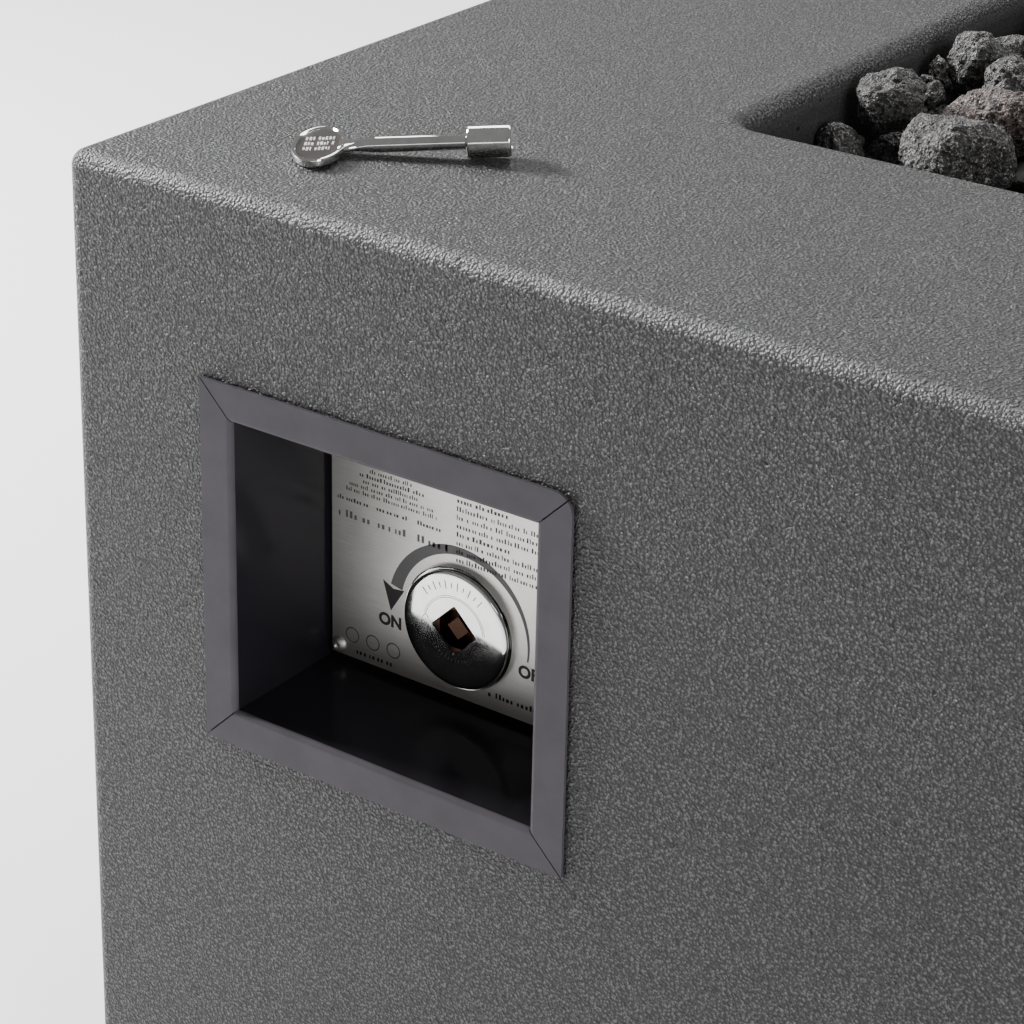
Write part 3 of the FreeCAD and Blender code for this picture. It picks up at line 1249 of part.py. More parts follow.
faults = [o.Name for o in doc.Objects if {"Invalid", "Error"} & set(o.State)]
for item in nodes:
    if item.Shape.isNull() or not item.Shape.isValid():
        faults.append(item.Label)
if faults:
    raise RuntimeError("failed objects: " + ", ".join(faults))
os.makedirs("parts", exist_ok=True)
for item in nodes:
    print(f"{item.Label}: {len(item.Shape.Solids)} solids, {item.Shape.Volume:.0f} mm3, {item.Shape.BoundBox}")
    item.Shape.exportStep(f"parts/{item.Label}.step")
print(len(nodes), "nodes")
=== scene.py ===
import json
import math
import random

import bmesh
import bpy
import numpy as np
from mathutils import Matrix, Vector, noise


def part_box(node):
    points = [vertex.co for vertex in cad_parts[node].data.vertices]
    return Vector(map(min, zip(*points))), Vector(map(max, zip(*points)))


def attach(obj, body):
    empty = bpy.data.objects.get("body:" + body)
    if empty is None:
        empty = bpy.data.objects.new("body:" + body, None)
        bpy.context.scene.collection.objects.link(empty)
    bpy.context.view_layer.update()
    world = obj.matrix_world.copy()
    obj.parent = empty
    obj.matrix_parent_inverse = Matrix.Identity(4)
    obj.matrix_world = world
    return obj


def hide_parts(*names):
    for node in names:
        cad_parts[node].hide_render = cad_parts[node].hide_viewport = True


MM = 0.001

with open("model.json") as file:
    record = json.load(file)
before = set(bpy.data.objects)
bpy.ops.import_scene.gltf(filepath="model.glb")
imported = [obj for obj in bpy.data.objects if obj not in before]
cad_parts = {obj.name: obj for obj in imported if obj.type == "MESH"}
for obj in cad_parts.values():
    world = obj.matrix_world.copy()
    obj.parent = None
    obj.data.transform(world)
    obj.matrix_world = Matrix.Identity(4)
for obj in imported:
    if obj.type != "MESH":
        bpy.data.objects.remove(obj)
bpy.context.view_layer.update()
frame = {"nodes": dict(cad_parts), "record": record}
nodes = frame["nodes"]

# Places read from the CAD solids, in metres
SHELL_LOW, SHELL_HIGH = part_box("fire_table_shell")
FRAME_LOW, FRAME_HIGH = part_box("valve_box_wrap")
PLATE_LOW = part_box("instruction_plate")[0]
DISC_LOW, DISC_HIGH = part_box("escutcheon")
ROCKS_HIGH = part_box("lava_rock_large")[1]
TOP = SHELL_HIGH.z
VALVE = Vector(((DISC_LOW.x + DISC_HIGH.x) / 2, PLATE_LOW.y, (DISC_LOW.z + DISC_HIGH.z) / 2))
# The well lies in the middle of the top, and its walls are this far from the outermost rocks
ROCK_GAP = 0.3 * MM
WELL_X = ROCKS_HIGH.x + ROCK_GAP
WELL_Y = ROCKS_HIGH.y + ROCK_GAP

# The photograph's view, solved from its straight edges, with part of its shift downwards
LENS = 99.92
SENSOR = 36
SHIFT_Y = -0.2148
TURN, RISE, ROLL = (math.radians(angle) for angle in (34.915, 21.657, 1.245))
CAMERA_SPOT = (0.0388, -0.9666, 0.7199)

# Area lights: place and aim in metres, width, height and power in watts
LIGHTS = {
    "behind": ((-1.1, 2.0, 2.5), (-0.4, -0.1, 0.4), 2.8, 1.3, 82),
    "strip": ((1.5, -3.1, 0.8), (-0.5, -0.25, 0.41), 4.0, 0.25, 9),
    "fill": ((2.3, -1.4, 1.3), (-0.3, -0.2, 0.4), 1.2, 1.2, 55),
    "key": ((-2.4, -0.31, 1.32), (-0.3, -0.28, 0.42), 0.5, 0.5, 160),
}
FLOOR_REACH = 9
FLOOR_WHITE = 0.92
SKY_STRENGTH = 0.24


# Materials
class Look:
    """A small builder for one procedural material on one Principled shader."""

    def __init__(self, name, **values):
        self.material = bpy.data.materials.new(name)
        self.material.use_nodes = True
        self.tree = self.material.node_tree
        self.shader = self.tree.nodes["Principled BSDF"]
        self.place = self.tree.nodes.new("ShaderNodeTexCoord").outputs["Object"]
        for key, value in values.items():
            self.set(key, value)

    def set(self, socket, value):
        target = self.shader.inputs[socket]
        if isinstance(value, bpy.types.NodeSocket):
            self.tree.links.new(value, target)
        else:
            target.default_value = value

    def node(self, kind, inputs=None, **settings):
        made = self.tree.nodes.new(kind)
        for key, value in settings.items():
            setattr(made, key, value)
        for key, value in (inputs or {}).items():
            if isinstance(value, bpy.types.NodeSocket):
                self.tree.links.new(value, made.inputs[key])
            else:
                made.inputs[key].default_value = value
        return made

    def math(self, operation, a, b=0.0, c=0.0, clamp=False):
        made = self.node("ShaderNodeMath", {0: a, 1: b, 2: c}, operation=operation, use_clamp=clamp)
        return made.outputs[0]

    def stretched(self, x, y, z, source=None):
        inputs = {0: source or self.place, 1: (x, y, z)}
        return self.node("ShaderNodeVectorMath", inputs, operation="MULTIPLY").outputs[0]

    def noise(self, scale, detail=2.0, rough=0.5, vector=None):
        inputs = {"Vector": vector or self.place, "Scale": scale, "Detail": detail, "Roughness": rough}
        return self.node("ShaderNodeTexNoise", inputs).outputs[0]

    def cells(self, scale, feature="F1", vector=None, smooth=0.6):
        inputs = {"Vector": vector or self.place, "Scale": scale}
        made = self.node("ShaderNodeTexVoronoi", inputs, feature=feature)
        if feature == "SMOOTH_F1":
            made.inputs["Smoothness"].default_value = smooth
        return made.outputs["Distance"]

    def ramp(self, value, stops):
        made = self.node("ShaderNodeValToRGB", {0: value})
        band = made.color_ramp
        while len(band.elements) < len(stops):
            band.elements.new(0.5)
        for element, (position, colour) in zip(band.elements, stops):
            element.position = position
            element.color = (*colour, 1)
        return made.outputs["Color"]

    def between(self, value, a, b, c=0.0, d=1.0):
        inputs = {"Value": value, "From Min": a, "From Max": b, "To Min": c, "To Max": d}
        return self.node("ShaderNodeMapRange", inputs).outputs["Result"]

    def mix(self, share, a, b):
        made = self.node("ShaderNodeMix", {0: share}, data_type="RGBA")
        for index, value in ((6, a), (7, b)):
            if isinstance(value, bpy.types.NodeSocket):
                self.tree.links.new(value, made.inputs[index])
            else:
                made.inputs[index].default_value = (*value, 1)
        return made.outputs[2]

    def bump(self, height, distance, strength=1.0):
        made = self.node("ShaderNodeBump", {"Height": height, "Distance": distance, "Strength": strength})
        return made.outputs["Normal"]

    def position(self):
        split = self.node("ShaderNodeSeparateXYZ", {0: self.place})
        return split.outputs["X"], split.outputs["Y"], split.outputs["Z"]

    def beyond(self, place, start, end):
        """A coordinate from the middle of the span from start to end, and its distance outside."""
        from_middle = self.math("SUBTRACT", place, (start + end) / 2)
        outside = self.math("SUBTRACT", self.math("ABSOLUTE", from_middle), (end - start) / 2)
        return from_middle, outside

    def both(self, a, b):
        return self.math("MULTIPLY", a, b, clamp=True)


def grey(value):
    """Linear colour of an sRGB grey from 0 to 255, or of an (r, g, b) of such values."""
    parts = value if isinstance(value, tuple) else (value,) * 3
    out = []
    for part in parts:
        s = part / 255
        out.append(s / 12.92 if s <= 0.04045 else ((s + 0.055) / 1.055) ** 2.4)
    return tuple(out)


def cast_grain(look):
    """Relief of the cast surface: its leathery grain, the finer grain on that, and a few pits."""
    wander = look.node("ShaderNodeTexNoise", {"Vector": look.place, "Scale": 380.0, "Detail": 1.0})
    reach = 0.8 * MM
    shift = look.stretched(reach, reach, reach, wander.outputs["Color"])
    warped = look.node("ShaderNodeVectorMath", {0: look.place, 1: shift}, operation="ADD").outputs[0]
    grain = look.noise(840.0, 2.0, 0.6, warped)
    hide = look.cells(1000.0, "SMOOTH_F1", warped, 0.5)
    leather = look.math("MULTIPLY_ADD", hide, -0.7, look.math("MULTIPLY_ADD", grain, 1.0, 0.35))
    fine = look.noise(2000.0, 2.0, 0.55)
    pits = look.ramp(look.noise(330.0, 0.0, 0.5), [(0.79, (0, 0, 0)), (0.82, (1, 1, 1))])
    return leather, fine, pits


def lip_ridges(look, x, y, z, out_x, out_y, outward):
    """Tooling ridges across the rounded lip of the well, about 2.5 mm apart."""
    per_metre = 2500.0
    stray = look.math("MULTIPLY", look.noise(120.0, 2.0), 12.0)
    ridge_x = look.math("SINE", look.math("MULTIPLY_ADD", x, per_metre, stray))
    ridge_y = look.math("SINE", look.math("MULTIPLY_ADD", y, per_metre, stray))
    near_well = look.between(outward, 10 * MM, 7.5 * MM)
    on_lip = look.both(near_well, look.between(z, TOP - 6 * MM, TOP - 3.5 * MM))
    on_side = look.math("GREATER_THAN", out_x, out_y)
    along_side = look.math("MULTIPLY", ridge_y, on_side)
    along_front = look.math("MULTIPLY", ridge_x, look.math("SUBTRACT", 1.0, on_side))
    ridges = look.math("ADD", along_side, along_front)
    depth = look.between(look.noise(210.0, 2.0), 0.35, 0.6, 0.25, 1.0)
    return look.math("MULTIPLY", look.math("MULTIPLY", ridges, depth), on_lip)


def frame_shadow(look, x, y, z):
    """Painted shade on the cast behind the valve frame, and a rough painted shadow along the frame's upper
    and right edges.
    """
    from_x, out_x = look.beyond(x, FRAME_LOW.x, FRAME_HIGH.x)
    from_z, out_z = look.beyond(z, FRAME_LOW.z, FRAME_HIGH.z)
    outward = look.math("MAXIMUM", out_x, out_z)
    in_front = look.math("LESS_THAN", y, SHELL_LOW.y + 1.0 * MM)
    behind = look.math("MULTIPLY", in_front, look.math("LESS_THAN", outward, -0.8 * MM))
    right = look.math("GREATER_THAN", from_x, 0.0)
    beside = look.math("MULTIPLY", right, look.math("GREATER_THAN", out_x, out_z))
    upper = look.math("GREATER_THAN", from_z, 0.0)
    above = look.math("MULTIPLY", upper, look.math("GREATER_THAN", out_z, out_x))
    upper_right = look.math("MAXIMUM", beside, above)
    rough_edge = look.math("MULTIPLY_ADD", look.noise(420.0, 2.0, 0.6), 2.2 * MM, outward)
    on_edge = look.math("MULTIPLY", in_front, upper_right)
    return behind, look.both(look.between(rough_edge, 2.7 * MM, 2.0 * MM), on_edge)


def glinting_edge(look, x, y, z):
    """The rounded outer edge of the top, in patches, where a painted highlight stands for its glint."""
    side_x = look.beyond(x, SHELL_LOW.x, SHELL_HIGH.x)[1]
    side_y = look.beyond(y, SHELL_LOW.y, SHELL_HIGH.y)[1]
    side = look.math("MAXIMUM", side_x, side_y)
    at_top = look.between(z, TOP - 5 * MM, TOP - 2.5 * MM)
    on_edge = look.both(look.between(side, -5 * MM, -2.2 * MM), at_top)
    patches = look.between(look.noise(34.0, 3.0, 0.6), 0.3, 0.6, 0.55, 1.0)
    return look.math("MULTIPLY", on_edge, patches)


def cast_look():
    """The painted cast: leathery, ridged on the well's lip, smoother in the well, with painted shade down
    the well's walls.
    """
    look = Look("cast_charcoal", **{"Specular IOR Level": 0.4})
    x, y, z = look.position()
    out_x = look.beyond(x, -WELL_X, WELL_X)[1]
    out_y = look.beyond(y, -WELL_Y, WELL_Y)[1]
    outward = look.math("MAXIMUM", out_x, out_y)
    leather, fine, pits = cast_grain(look)
    ridges = lip_ridges(look, x, y, z, out_x, out_y, outward)
    behind, painted_frame_shadow = frame_shadow(look, x, y, z)
    edge_glint = glinting_edge(look, x, y, z)
    inside = look.between(outward, 5 * MM, 3 * MM)
    in_well = look.both(inside, look.between(z, TOP - 3 * MM, TOP - 6 * MM))
    # Painted shade down the well's walls, from 14 mm to 30 mm below the top
    near_wall = look.between(outward, 1.5 * MM, 0.3 * MM)
    painted_well_shade = look.both(near_wall, look.between(z, TOP - 14 * MM, TOP - 30 * MM))

    height = look.math("MULTIPLY_ADD", fine, 0.22, leather)
    height = look.math("MULTIPLY_ADD", pits, -0.5, height)
    kept = look.math("SUBTRACT", 1.0, look.math("MULTIPLY", in_well, 0.75))
    height = look.math("MULTIPLY_ADD", ridges, 0.26, look.math("MULTIPLY", height, kept))
    # In the well the grain fades to an even tone
    to_even = look.math("SUBTRACT", 0.6, leather)
    leather = look.math("MULTIPLY_ADD", to_even, look.math("MULTIPLY", in_well, 0.8), leather)

    cloud = look.noise(60.0, 2.0, 0.6)
    tone = look.math("MULTIPLY_ADD", cloud, 0.35, look.math("MULTIPLY", look.noise(9.0, 3.0, 0.6), 0.65))
    shade = look.math("MULTIPLY_ADD", fine, 0.4, look.between(leather, 0.42, 0.78, 0.1, 1.3))
    shade = look.math("MULTIPLY_ADD", ridges, 0.22, shade)
    base = look.ramp(tone, [(0.3, grey(59)), (0.7, grey(69))])
    base = look.mix(look.between(shade, 1.1, 0.35, 0.0, 0.85), base, grey(20))
    base = look.mix(look.between(shade, 0.95, 1.55, 0.0, 0.6), base, grey(116))
    base = look.mix(look.math("MULTIPLY", pits, 0.85), base, grey(14))
    # Painted shade: the cast behind the frame is made near black
    base = look.mix(behind, base, grey(6))
    # Painted shadow along the frame's upper and right edges
    base = look.mix(look.math("MULTIPLY", painted_frame_shadow, 0.9), base, grey(10))
    # Painted shade down the well's walls
    base = look.mix(look.math("MULTIPLY", painted_well_shade, 0.8), base, grey(22))
    # Painted highlight: the rounded outer edge is lighter in patches, for its glint
    look.set("Base Color", look.mix(look.math("MULTIPLY", edge_glint, 0.3), base, grey(126)))
    rough = look.between(leather, 0.4, 0.8, 0.5, 0.36)
    look.set("Roughness", look.math("MULTIPLY_ADD", edge_glint, -0.08, rough))
    look.set("Normal", look.bump(height, 1.05 * MM))
    return look.material


def frame_look():
    """Satin grey flange; the walls of the box behind it are darker and glossier."""
    look = Look("frame_grey", IOR=1.2)
    y = look.position()[1]
    inside = look.math("GREATER_THAN", y, FRAME_LOW.y + 2.0 * MM)
    satin = look.ramp(look.noise(70.0, 3.0, 0.6), [(0.35, grey((70, 68, 72))), (0.68, grey((77, 74, 79)))])
    look.set("Base Color", look.mix(inside, satin, grey((30, 28, 33))))
    look.set("Roughness", look.math("SUBTRACT", 0.44, look.math("MULTIPLY", inside, 0.26)))
    look.set("Normal", look.bump(look.noise(900.0, 2.0), 0.05 * MM, 0.25))
    return look.material


def plate_look():
    """Brushed along X, with a few faint smears."""
    look = Look("brushed_plate", Metallic=1.0)
    lines = look.noise(1.0, 3.0, 0.6, look.stretched(90.0, 90.0, 5200.0))
    base = look.ramp(lines, [(0.25, grey((212, 209, 204))), (0.75, grey((240, 237, 232)))])
    smear = look.between(look.noise(26.0, 3.0, 0.55), 0.5, 0.72, 0.0, 0.35)
    look.set("Base Color", look.mix(smear, base, grey((178, 175, 170))))
    look.set("Roughness", look.between(lines, 0.2, 0.8, 0.42, 0.54))
    look.set("Normal", look.bump(lines, 0.03 * MM, 0.35))
    return look.material


def chrome_look():
    look = Look("chrome", Metallic=1.0)
    cloud = look.noise(160.0, 3.0, 0.6)
    look.set("Base Color", look.ramp(cloud, [(0.3, grey((214, 214, 212))), (0.7, grey((232, 232, 230)))]))
    look.set("Roughness", look.between(cloud, 0.3, 0.75, 0.04, 0.12))
    look.set("Normal", look.bump(look.noise(500.0, 2.0), 0.02 * MM, 0.15))
    return look.material


def metal_look(name, colour, rough):
    look = Look(name, Metallic=1.0)
    cloud = look.noise(120.0, 3.0, 0.6)
    darker = tuple(c * 0.72 for c in colour)
    look.set("Base Color", look.ramp(cloud, [(0.3, darker), (0.7, colour)]))
    look.set("Roughness", look.between(cloud, 0.3, 0.7, rough - 0.08, rough + 0.08))
    look.set("Normal", look.bump(look.noise(700.0, 2.0), 0.04 * MM, 0.2))
    return look.material


def plain_look(name, colour, rough, **values):
    look = Look(name, Roughness=rough, **values)
    darker = tuple(c * 0.85 for c in colour)
    look.set("Base Color", look.ramp(look.noise(90.0, 2.0), [(0.3, darker), (0.7, colour)]))
    return look.material


def rock_look():
    """Porous lava; each rock's tint says how red it is and how many bright speckles it has, painted
    highlights for the glints on its pores' edges.
    """
    look = Look("lava_rock", **{"Specular IOR Level": 0.6})
    tint = look.node("ShaderNodeAttribute", attribute_name="tint").outputs["Color"]
    parts = look.node("ShaderNodeSeparateColor", {0: tint})
    red, glint_share = parts.outputs[0], parts.outputs[1]
    coarse = look.noise(300.0, 4.0, 0.7)
    fine = look.noise(1300.0, 3.0, 0.7)
    hole = look.between(look.cells(430.0), 0.2, 0.46)
    hole_small = look.between(look.cells(1000.0), 0.18, 0.5)
    height = look.math("MULTIPLY_ADD", hole, 0.8, look.math("MULTIPLY", hole_small, 0.4))
    height = look.math("MULTIPLY_ADD", coarse, 0.9, height)
    height = look.math("MULTIPLY_ADD", fine, 0.35, height)
    body = look.ramp(look.noise(75.0, 4.0, 0.65), [(0.32, grey((30, 29, 30))), (0.68, grey((66, 64, 63)))])
    rust = look.ramp(look.noise(110.0, 4.0, 0.6), [(0.3, grey((44, 33, 30))), (0.7, grey((92, 70, 63)))])
    # Painted highlights: bright speckles for the glints on the pores' edges
    painted_glints = look.both(look.between(fine, 0.5, 0.62), look.between(coarse, 0.42, 0.58))
    base = look.mix(look.math("MULTIPLY", painted_glints, glint_share), look.mix(red, body, rust), grey((190, 187, 183)))
    solid = look.both(hole, look.between(hole_small, 0.0, 1.0, 0.35, 1.0))
    look.set("Base Color", look.mix(look.math("MULTIPLY_ADD", solid, -0.95, 0.95), base, grey(7)))
    look.set("Roughness", look.between(fine, 0.4, 0.65, 0.85, 0.4))
    look.set("Normal", look.bump(height, 1.5 * MM, 0.95))
    return look.material


CHROME = chrome_look()
RIVET = metal_look("rivet_metal", grey((218, 217, 213)), 0.5)
INK = plain_look("print_black", grey(26), 0.5)
INK_GREY = plain_look("print_grey", grey((92, 91, 93)), 0.5)
KEY_FACE = metal_look("key_face", grey((66, 60, 58)), 0.45)
ENGRAVED = plain_look("engraved", grey(34), 0.4, Metallic=0.4)
ROCK = rock_look()
MATERIALS = {
    "cast_charcoal": cast_look(),
    "frame_grey": frame_look(),
    "black_enamel": plain_look("black_enamel", grey((24, 23, 28)), 0.16, IOR=1.17),
    "brushed_plate": plate_look(),
    "rivet_metal": RIVET,
    "chrome": CHROME,
    "brass": metal_look("brass", grey((88, 66, 54)), 0.42),
    "stainless": metal_look("stainless", grey((190, 190, 188)), 0.32),
    "screw_steel": metal_look("screw_steel", grey((180, 181, 184)), 0.35),
    "foot_rubber": plain_look("foot_rubber", grey(30), 0.7),
    "lava_rock": ROCK,
}
for entry in frame["record"]["subparts"]:
    mesh = nodes[entry["node"]].data
    mesh.materials.clear()
    mesh.materials.append(MATERIALS[entry["material_slot"]])


# Pieces and meshes
def piece(name, mesh, body, material, replaced=()):
    made = bpy.data.objects.new(name, mesh)
    bpy.context.scene.collection.objects.link(made)
    mesh.materials.clear()
    mesh.materials.append(material)
    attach(made, body)
    if replaced:
        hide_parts(*replaced)
    return made


def mesh_of(name, points, faces):
    mesh = bpy.data.meshes.new(name)
    mesh.from_pydata([tuple(p) for p in points], [], [tuple(f) for f in faces])
    mesh.update()
    return mesh


def smooth(mesh):
    mesh.polygons.foreach_set("use_smooth", [True] * len(mesh.polygons))


# Lava rocks
def loose_parts(mesh):
    """The points of each closed solid of a mesh."""
    source = bmesh.new()
    source.from_mesh(mesh)
    bmesh.ops.remove_doubles(source, verts=source.verts, dist=1e-6)
    seen = set()
    for first in source.verts:
        if first in seen:
            continue
        seen.add(first)
        group = [first]
        for vert in group:  # the list grows while it is read
            for edge in vert.link_edges:
                for other in edge.verts:
                    if other not in seen:
                        seen.add(other)
                        group.append(other)
        yield [v.co.copy() for v in group]
    source.free()


def rounded_hull(points, level):
    """Points, normals and faces of a subdivided convex hull."""
    shape = bmesh.new()
    for point in points:
        shape.verts.new(point)
    bmesh.ops.convex_hull(shape, input=shape.verts)
    bmesh.ops.dissolve_limit(shape, angle_limit=0.06, verts=shape.verts, edges=shape.edges)
    mesh = bpy.data.meshes.new("rock")
    shape.to_mesh(mesh)
    shape.free()
    temp = bpy.data.objects.new("rock", mesh)
    bpy.context.scene.collection.objects.link(temp)
    rounder = temp.modifiers.new("round", "SUBSURF")
    rounder.levels = level
    rounder.render_levels = level
    graph = bpy.context.evaluated_depsgraph_get()
    made = bpy.data.meshes.new_from_object(temp.evaluated_get(graph))
    bpy.data.objects.remove(temp)
    bpy.data.meshes.remove(mesh)
    rows = []
    for kind in ("co", "normal"):
        row = np.zeros(len(made.vertices) * 3)
        made.vertices.foreach_get(kind, row)
        rows.append(row.reshape(-1, 3))
    faces = [tuple(p.vertices) for p in made.polygons]
    bpy.data.meshes.remove(made)
    return *rows, faces


def boulder(points, level, draw):
    """A lumpy, pitted rock with broken faces, in place of the convex solid of the points."""
    co, normal, faces = rounded_hull(points, level)
    middle = co.mean(0)
    hull = np.array([tuple(p) for p in points])
    extent = hull.max(0) - hull.min(0)
    span = extent.mean()
    # Subdivision shrinks the hull, and most of that is given back
    grow = np.minimum(extent / np.maximum(co.max(0) - co.min(0), 1e-6), 1.16)
    co = middle + (co - middle) * (1 + (grow - 1) * 0.8)
    # Each broken face is a plane that cuts a little off the rounded form
    for _ in range(9):
        way = np.array([draw.gauss(0, 1) for _ in range(3)])
        way /= np.linalg.norm(way)
        out = (co - middle) @ way
        limit = out.max() * draw.uniform(0.66, 0.86)
        co -= np.outer(np.maximum(out - limit, 0) * 0.82, way)
    shift = draw.uniform(0, 50)
    lumps = 2.2 / span
    for i, spot in enumerate(map(Vector, co)):
        large = noise.noise(spot * lumps + Vector((shift, 0, 0)))
        medium = noise.noise(spot * lumps * 2.3 + Vector((0, shift, 0)))
        small = noise.noise(spot * 260 + Vector((0, 0, shift)))
        fine = noise.noise(spot * 620 + Vector((shift, shift, 0)))
        pit = min(0.0, small + 0.12)
        lump = span * (0.07 * large + 0.045 * medium)
        co[i] += normal[i] * (lump + 2.2 * MM * pit + 0.5 * MM * fine + 0.3 * MM * small)
    return co, faces


def is_near(from_left, from_front):
    """Whether a rock is in the corner of the well that the camera sees from close by."""
    return from_left < 130 * MM and from_front < 190 * MM


def is_reddish(from_left, from_front):
    """Whether a rock is the reddish one behind the foremost rock."""
    return abs(from_left - 52 * MM) < 14 * MM and abs(from_front - 98 * MM) < 12 * MM


def lay_rocks(node):
    draw = random.Random(len(node) * 7)
    small = node.endswith("small")
    points, faces, tints = [], [], []

    def corner(part):
        return round(min(v.x for v in part), 5), round(min(v.y for v in part), 5)

    for part in sorted(loose_parts(nodes[node].data), key=corner):
        middle = sum(part, Vector()) / len(part)
        spot = (middle.x + WELL_X, middle.y + WELL_Y)
        near = is_near(*spot)
        level = 5 if near else 4
        co, rock_faces = boulder(part, level - 1 if small else level, draw)
        if near and not small:
            # Seen from close by, the gaps between the rocks are open
            heart = co.mean(0)
            co = heart + (co - heart) * np.array((0.88, 0.88, 0.84)) - np.array((0, 0, 1.6 * MM))
        start = len(points)
        points.extend(co.tolist())
        faces.extend([tuple(i + start for i in f) for f in rock_faces])
        far_red = 0.7 * max(0.0, draw.random() - 0.8) / 0.2
        red = 0.85 if is_reddish(*spot) else 0.0 if near else far_red
        # Share of painted highlight speckles on this rock
        glint_share = draw.uniform(0.35, 1.0)
        tints.extend([(red, glint_share, draw.random(), 1.0)] * len(co))
    mesh = mesh_of(node + "_look", points, faces)
    smooth(mesh)
    layer = mesh.color_attributes.new("tint", "FLOAT_COLOR", "POINT")
    layer.data.foreach_set("color", np.array(tints, np.float32).ravel())
    piece(node + "_look", mesh, "table", ROCK, (node,))


for rock_node in ("lava_rock_large", "lava_rock_medium", "lava_rock_small"):
    lay_rocks(rock_node)


# Print on the plate, in millimetres from the valve axis
PRINT_Y = PLATE_LOW.y - 0.03 * MM


def on_plate(dx, dz, y=PRINT_Y):
    return Vector((VALVE.x + dx * MM, y, VALVE.z + dz * MM))


def arc_points(radius, start, stop, count=64):
    """Points on an arc in degrees, whose radius may be a function of the share passed."""
    out = []
    for i in range(count + 1):
        turn = math.radians(start + (stop - start) * i / count)
        r = radius(i / count) if callable(radius) else radius
        out.append((r * math.cos(turn), r * math.sin(turn)))
    return out


class Print:
    """Flat marks gathered in one mesh, at one depth."""

    def __init__(self, y=PRINT_Y):
        self.y = y
        self.points = []
        self.faces = []

    def add(self, points, faces):
        start = len(self.points)
        self.points.extend(points)
        self.faces.extend([tuple(i + start for i in f) for f in faces])

    def bar(self, x, z, width, height, tilt=0.0):
        c, s = math.cos(tilt), math.sin(tilt)
        points = []
        for a, b in ((-0.5, -0.5), (0.5, -0.5), (0.5, 0.5), (-0.5, 0.5)):
            a, b = a * width, b * height
            points.append(on_plate(x + a * c - b * s, z + a * s + b * c, self.y))
        self.add(points, [(0, 1, 2, 3)])

    def ribbon(self, inner, outer):
        """A flat strip between two rows of (dx, dz) points."""
        count = len(inner)
        points = [on_plate(*p, self.y) for p in (*inner, *outer)]
        self.add(points, [(i, i + 1, count + i + 1, count + i) for i in range(count - 1)])

    def greek_line(self, draw, x, z, width, height, weight=1.0):
        """One line of unreadable text: words of short bars."""
        spot = x
        while spot < x + width:
            word = min(draw.uniform(1.2, 4.2), x + width - spot)
            letter = spot
            while letter < spot + word - 0.25:
                wide = height * draw.uniform(0.34, 0.6) * weight
                tall = height * draw.choice((0.62, 0.62, 0.62, 0.95))
                self.bar(letter + wide / 2, z + tall / 2 - height * 0.3, wide * 0.72, tall)
                letter += wide + height * 0.16
            spot += word + height * 0.5

    def text(self, text, size, x, z, tilt=0.0, bold=0.0):
        curve = bpy.data.curves.new(text, "FONT")
        curve.body = text
        curve.size = size * MM
        curve.align_x = "CENTER"
        curve.align_y = "CENTER"
        curve.offset = bold * MM
        temp = bpy.data.objects.new(text, curve)
        bpy.context.scene.collection.objects.link(temp)
        graph = bpy.context.evaluated_depsgraph_get()
        mesh = bpy.data.meshes.new_from_object(temp.evaluated_get(graph))
        bpy.data.objects.remove(temp)
        bpy.data.curves.remove(curve)
        turn = Matrix.Rotation(math.radians(90), 4, "X") @ Matrix.Rotation(math.radians(tilt), 4, "Z")
        mesh.transform(Matrix.Translation(on_plate(x, z, self.y)) @ turn)
        self.add([v.co.copy() for v in mesh.vertices], [tuple(p.vertices) for p in mesh.polygons])
        bpy.data.meshes.remove(mesh)

    def make(self, name, material):
        piece(name, mesh_of(name, self.points, self.faces), "table", material)


def print_plate():
    draw = random.Random(11)
    black = Print()
    # Centred lines and three headings on the left, instructions on the right
    for row, width in enumerate((40, 37, 25, 28, 19, 24, 30, 26)):
        weight = 1.15 if row == 3 else 0.85
        black.greek_line(draw, -31 - width / 2, 38.6 + row * 2.35, width, 1.75, weight)
    for x, width in ((-55, 14), (-37.5, 14), (-19.5, 11)):
        black.greek_line(draw, x, 34.4, width, 1.75, 1.15)
    for row in range(16):
        width, weight = (60, 0.85) if row % 4 else (22, 1.2)
        black.greek_line(draw, -2.5, 74 - row * 3.25, width, 2.0, weight)
    black.greek_line(draw, 12, -22.6, 42, 2.3, 1.3)
    black.greek_line(draw, -46.5, -25.5, 16, 2.3, 1.1)
    for text, x, z in (("ON", -31.0, -8.0), ("OFF", 30.5, -9.0)):
        black.text(text, 6.4, x, z, bold=0.28)
    black.make("plate_print", INK)

    pale = Print()
    for x in (-54.5, -37, -19.5):
        pale.greek_line(draw, x, 28.2, 13, 2.9)

    # The arrow round the escutcheon is a band that swells towards its head at ON
    def edge(side):
        return arc_points(lambda share: 29.0 + side * (0.35 + 2.3 * share), -9, 167)

    pale.ribbon(edge(-1), edge(1))
    # Three bare emblems under the arrow
    for x, z in ((-48.2, -19.2), (-38.9, -19.4), (-29.6, -19.5)):
        inner, outer = ([(x + a, z + b) for a, b in arc_points(r, 0, 360, 32)] for r in (2.6, 3.1))
        pale.ribbon(inner, outer)
    pale.make("plate_print_grey", INK_GREY)

    head = Print()
    corners = ((-34.4, 7.8), (-29.6, 5.4), (-24.8, 6.0), (-30.8, -3.7))
    head.add([on_plate(*p) for p in corners], [(0, 3, 2, 1)])
    head.make("plate_arrow_head", INK)


print_plate()


# Turned and lofted metal
def skin(rings, wrapped=False):
    """One closed surface over rings of equal counts, capped at both ends or wrapped onto itself."""
    count = len(rings[0])
    points = [p for r in rings for p in r]
    faces = []
    for k in range(len(rings) if wrapped else len(rings) - 1):
        n = (k + 1) % len(rings)
        for i in range(count):
            j = (i + 1) % count
            faces.append((k * count + i, k * count + j, n * count + j, n * count + i))
    if not wrapped:
        faces.append(tuple(reversed(range(count))))
        faces.append(tuple(range(len(points) - count, len(points))))
    return points, faces


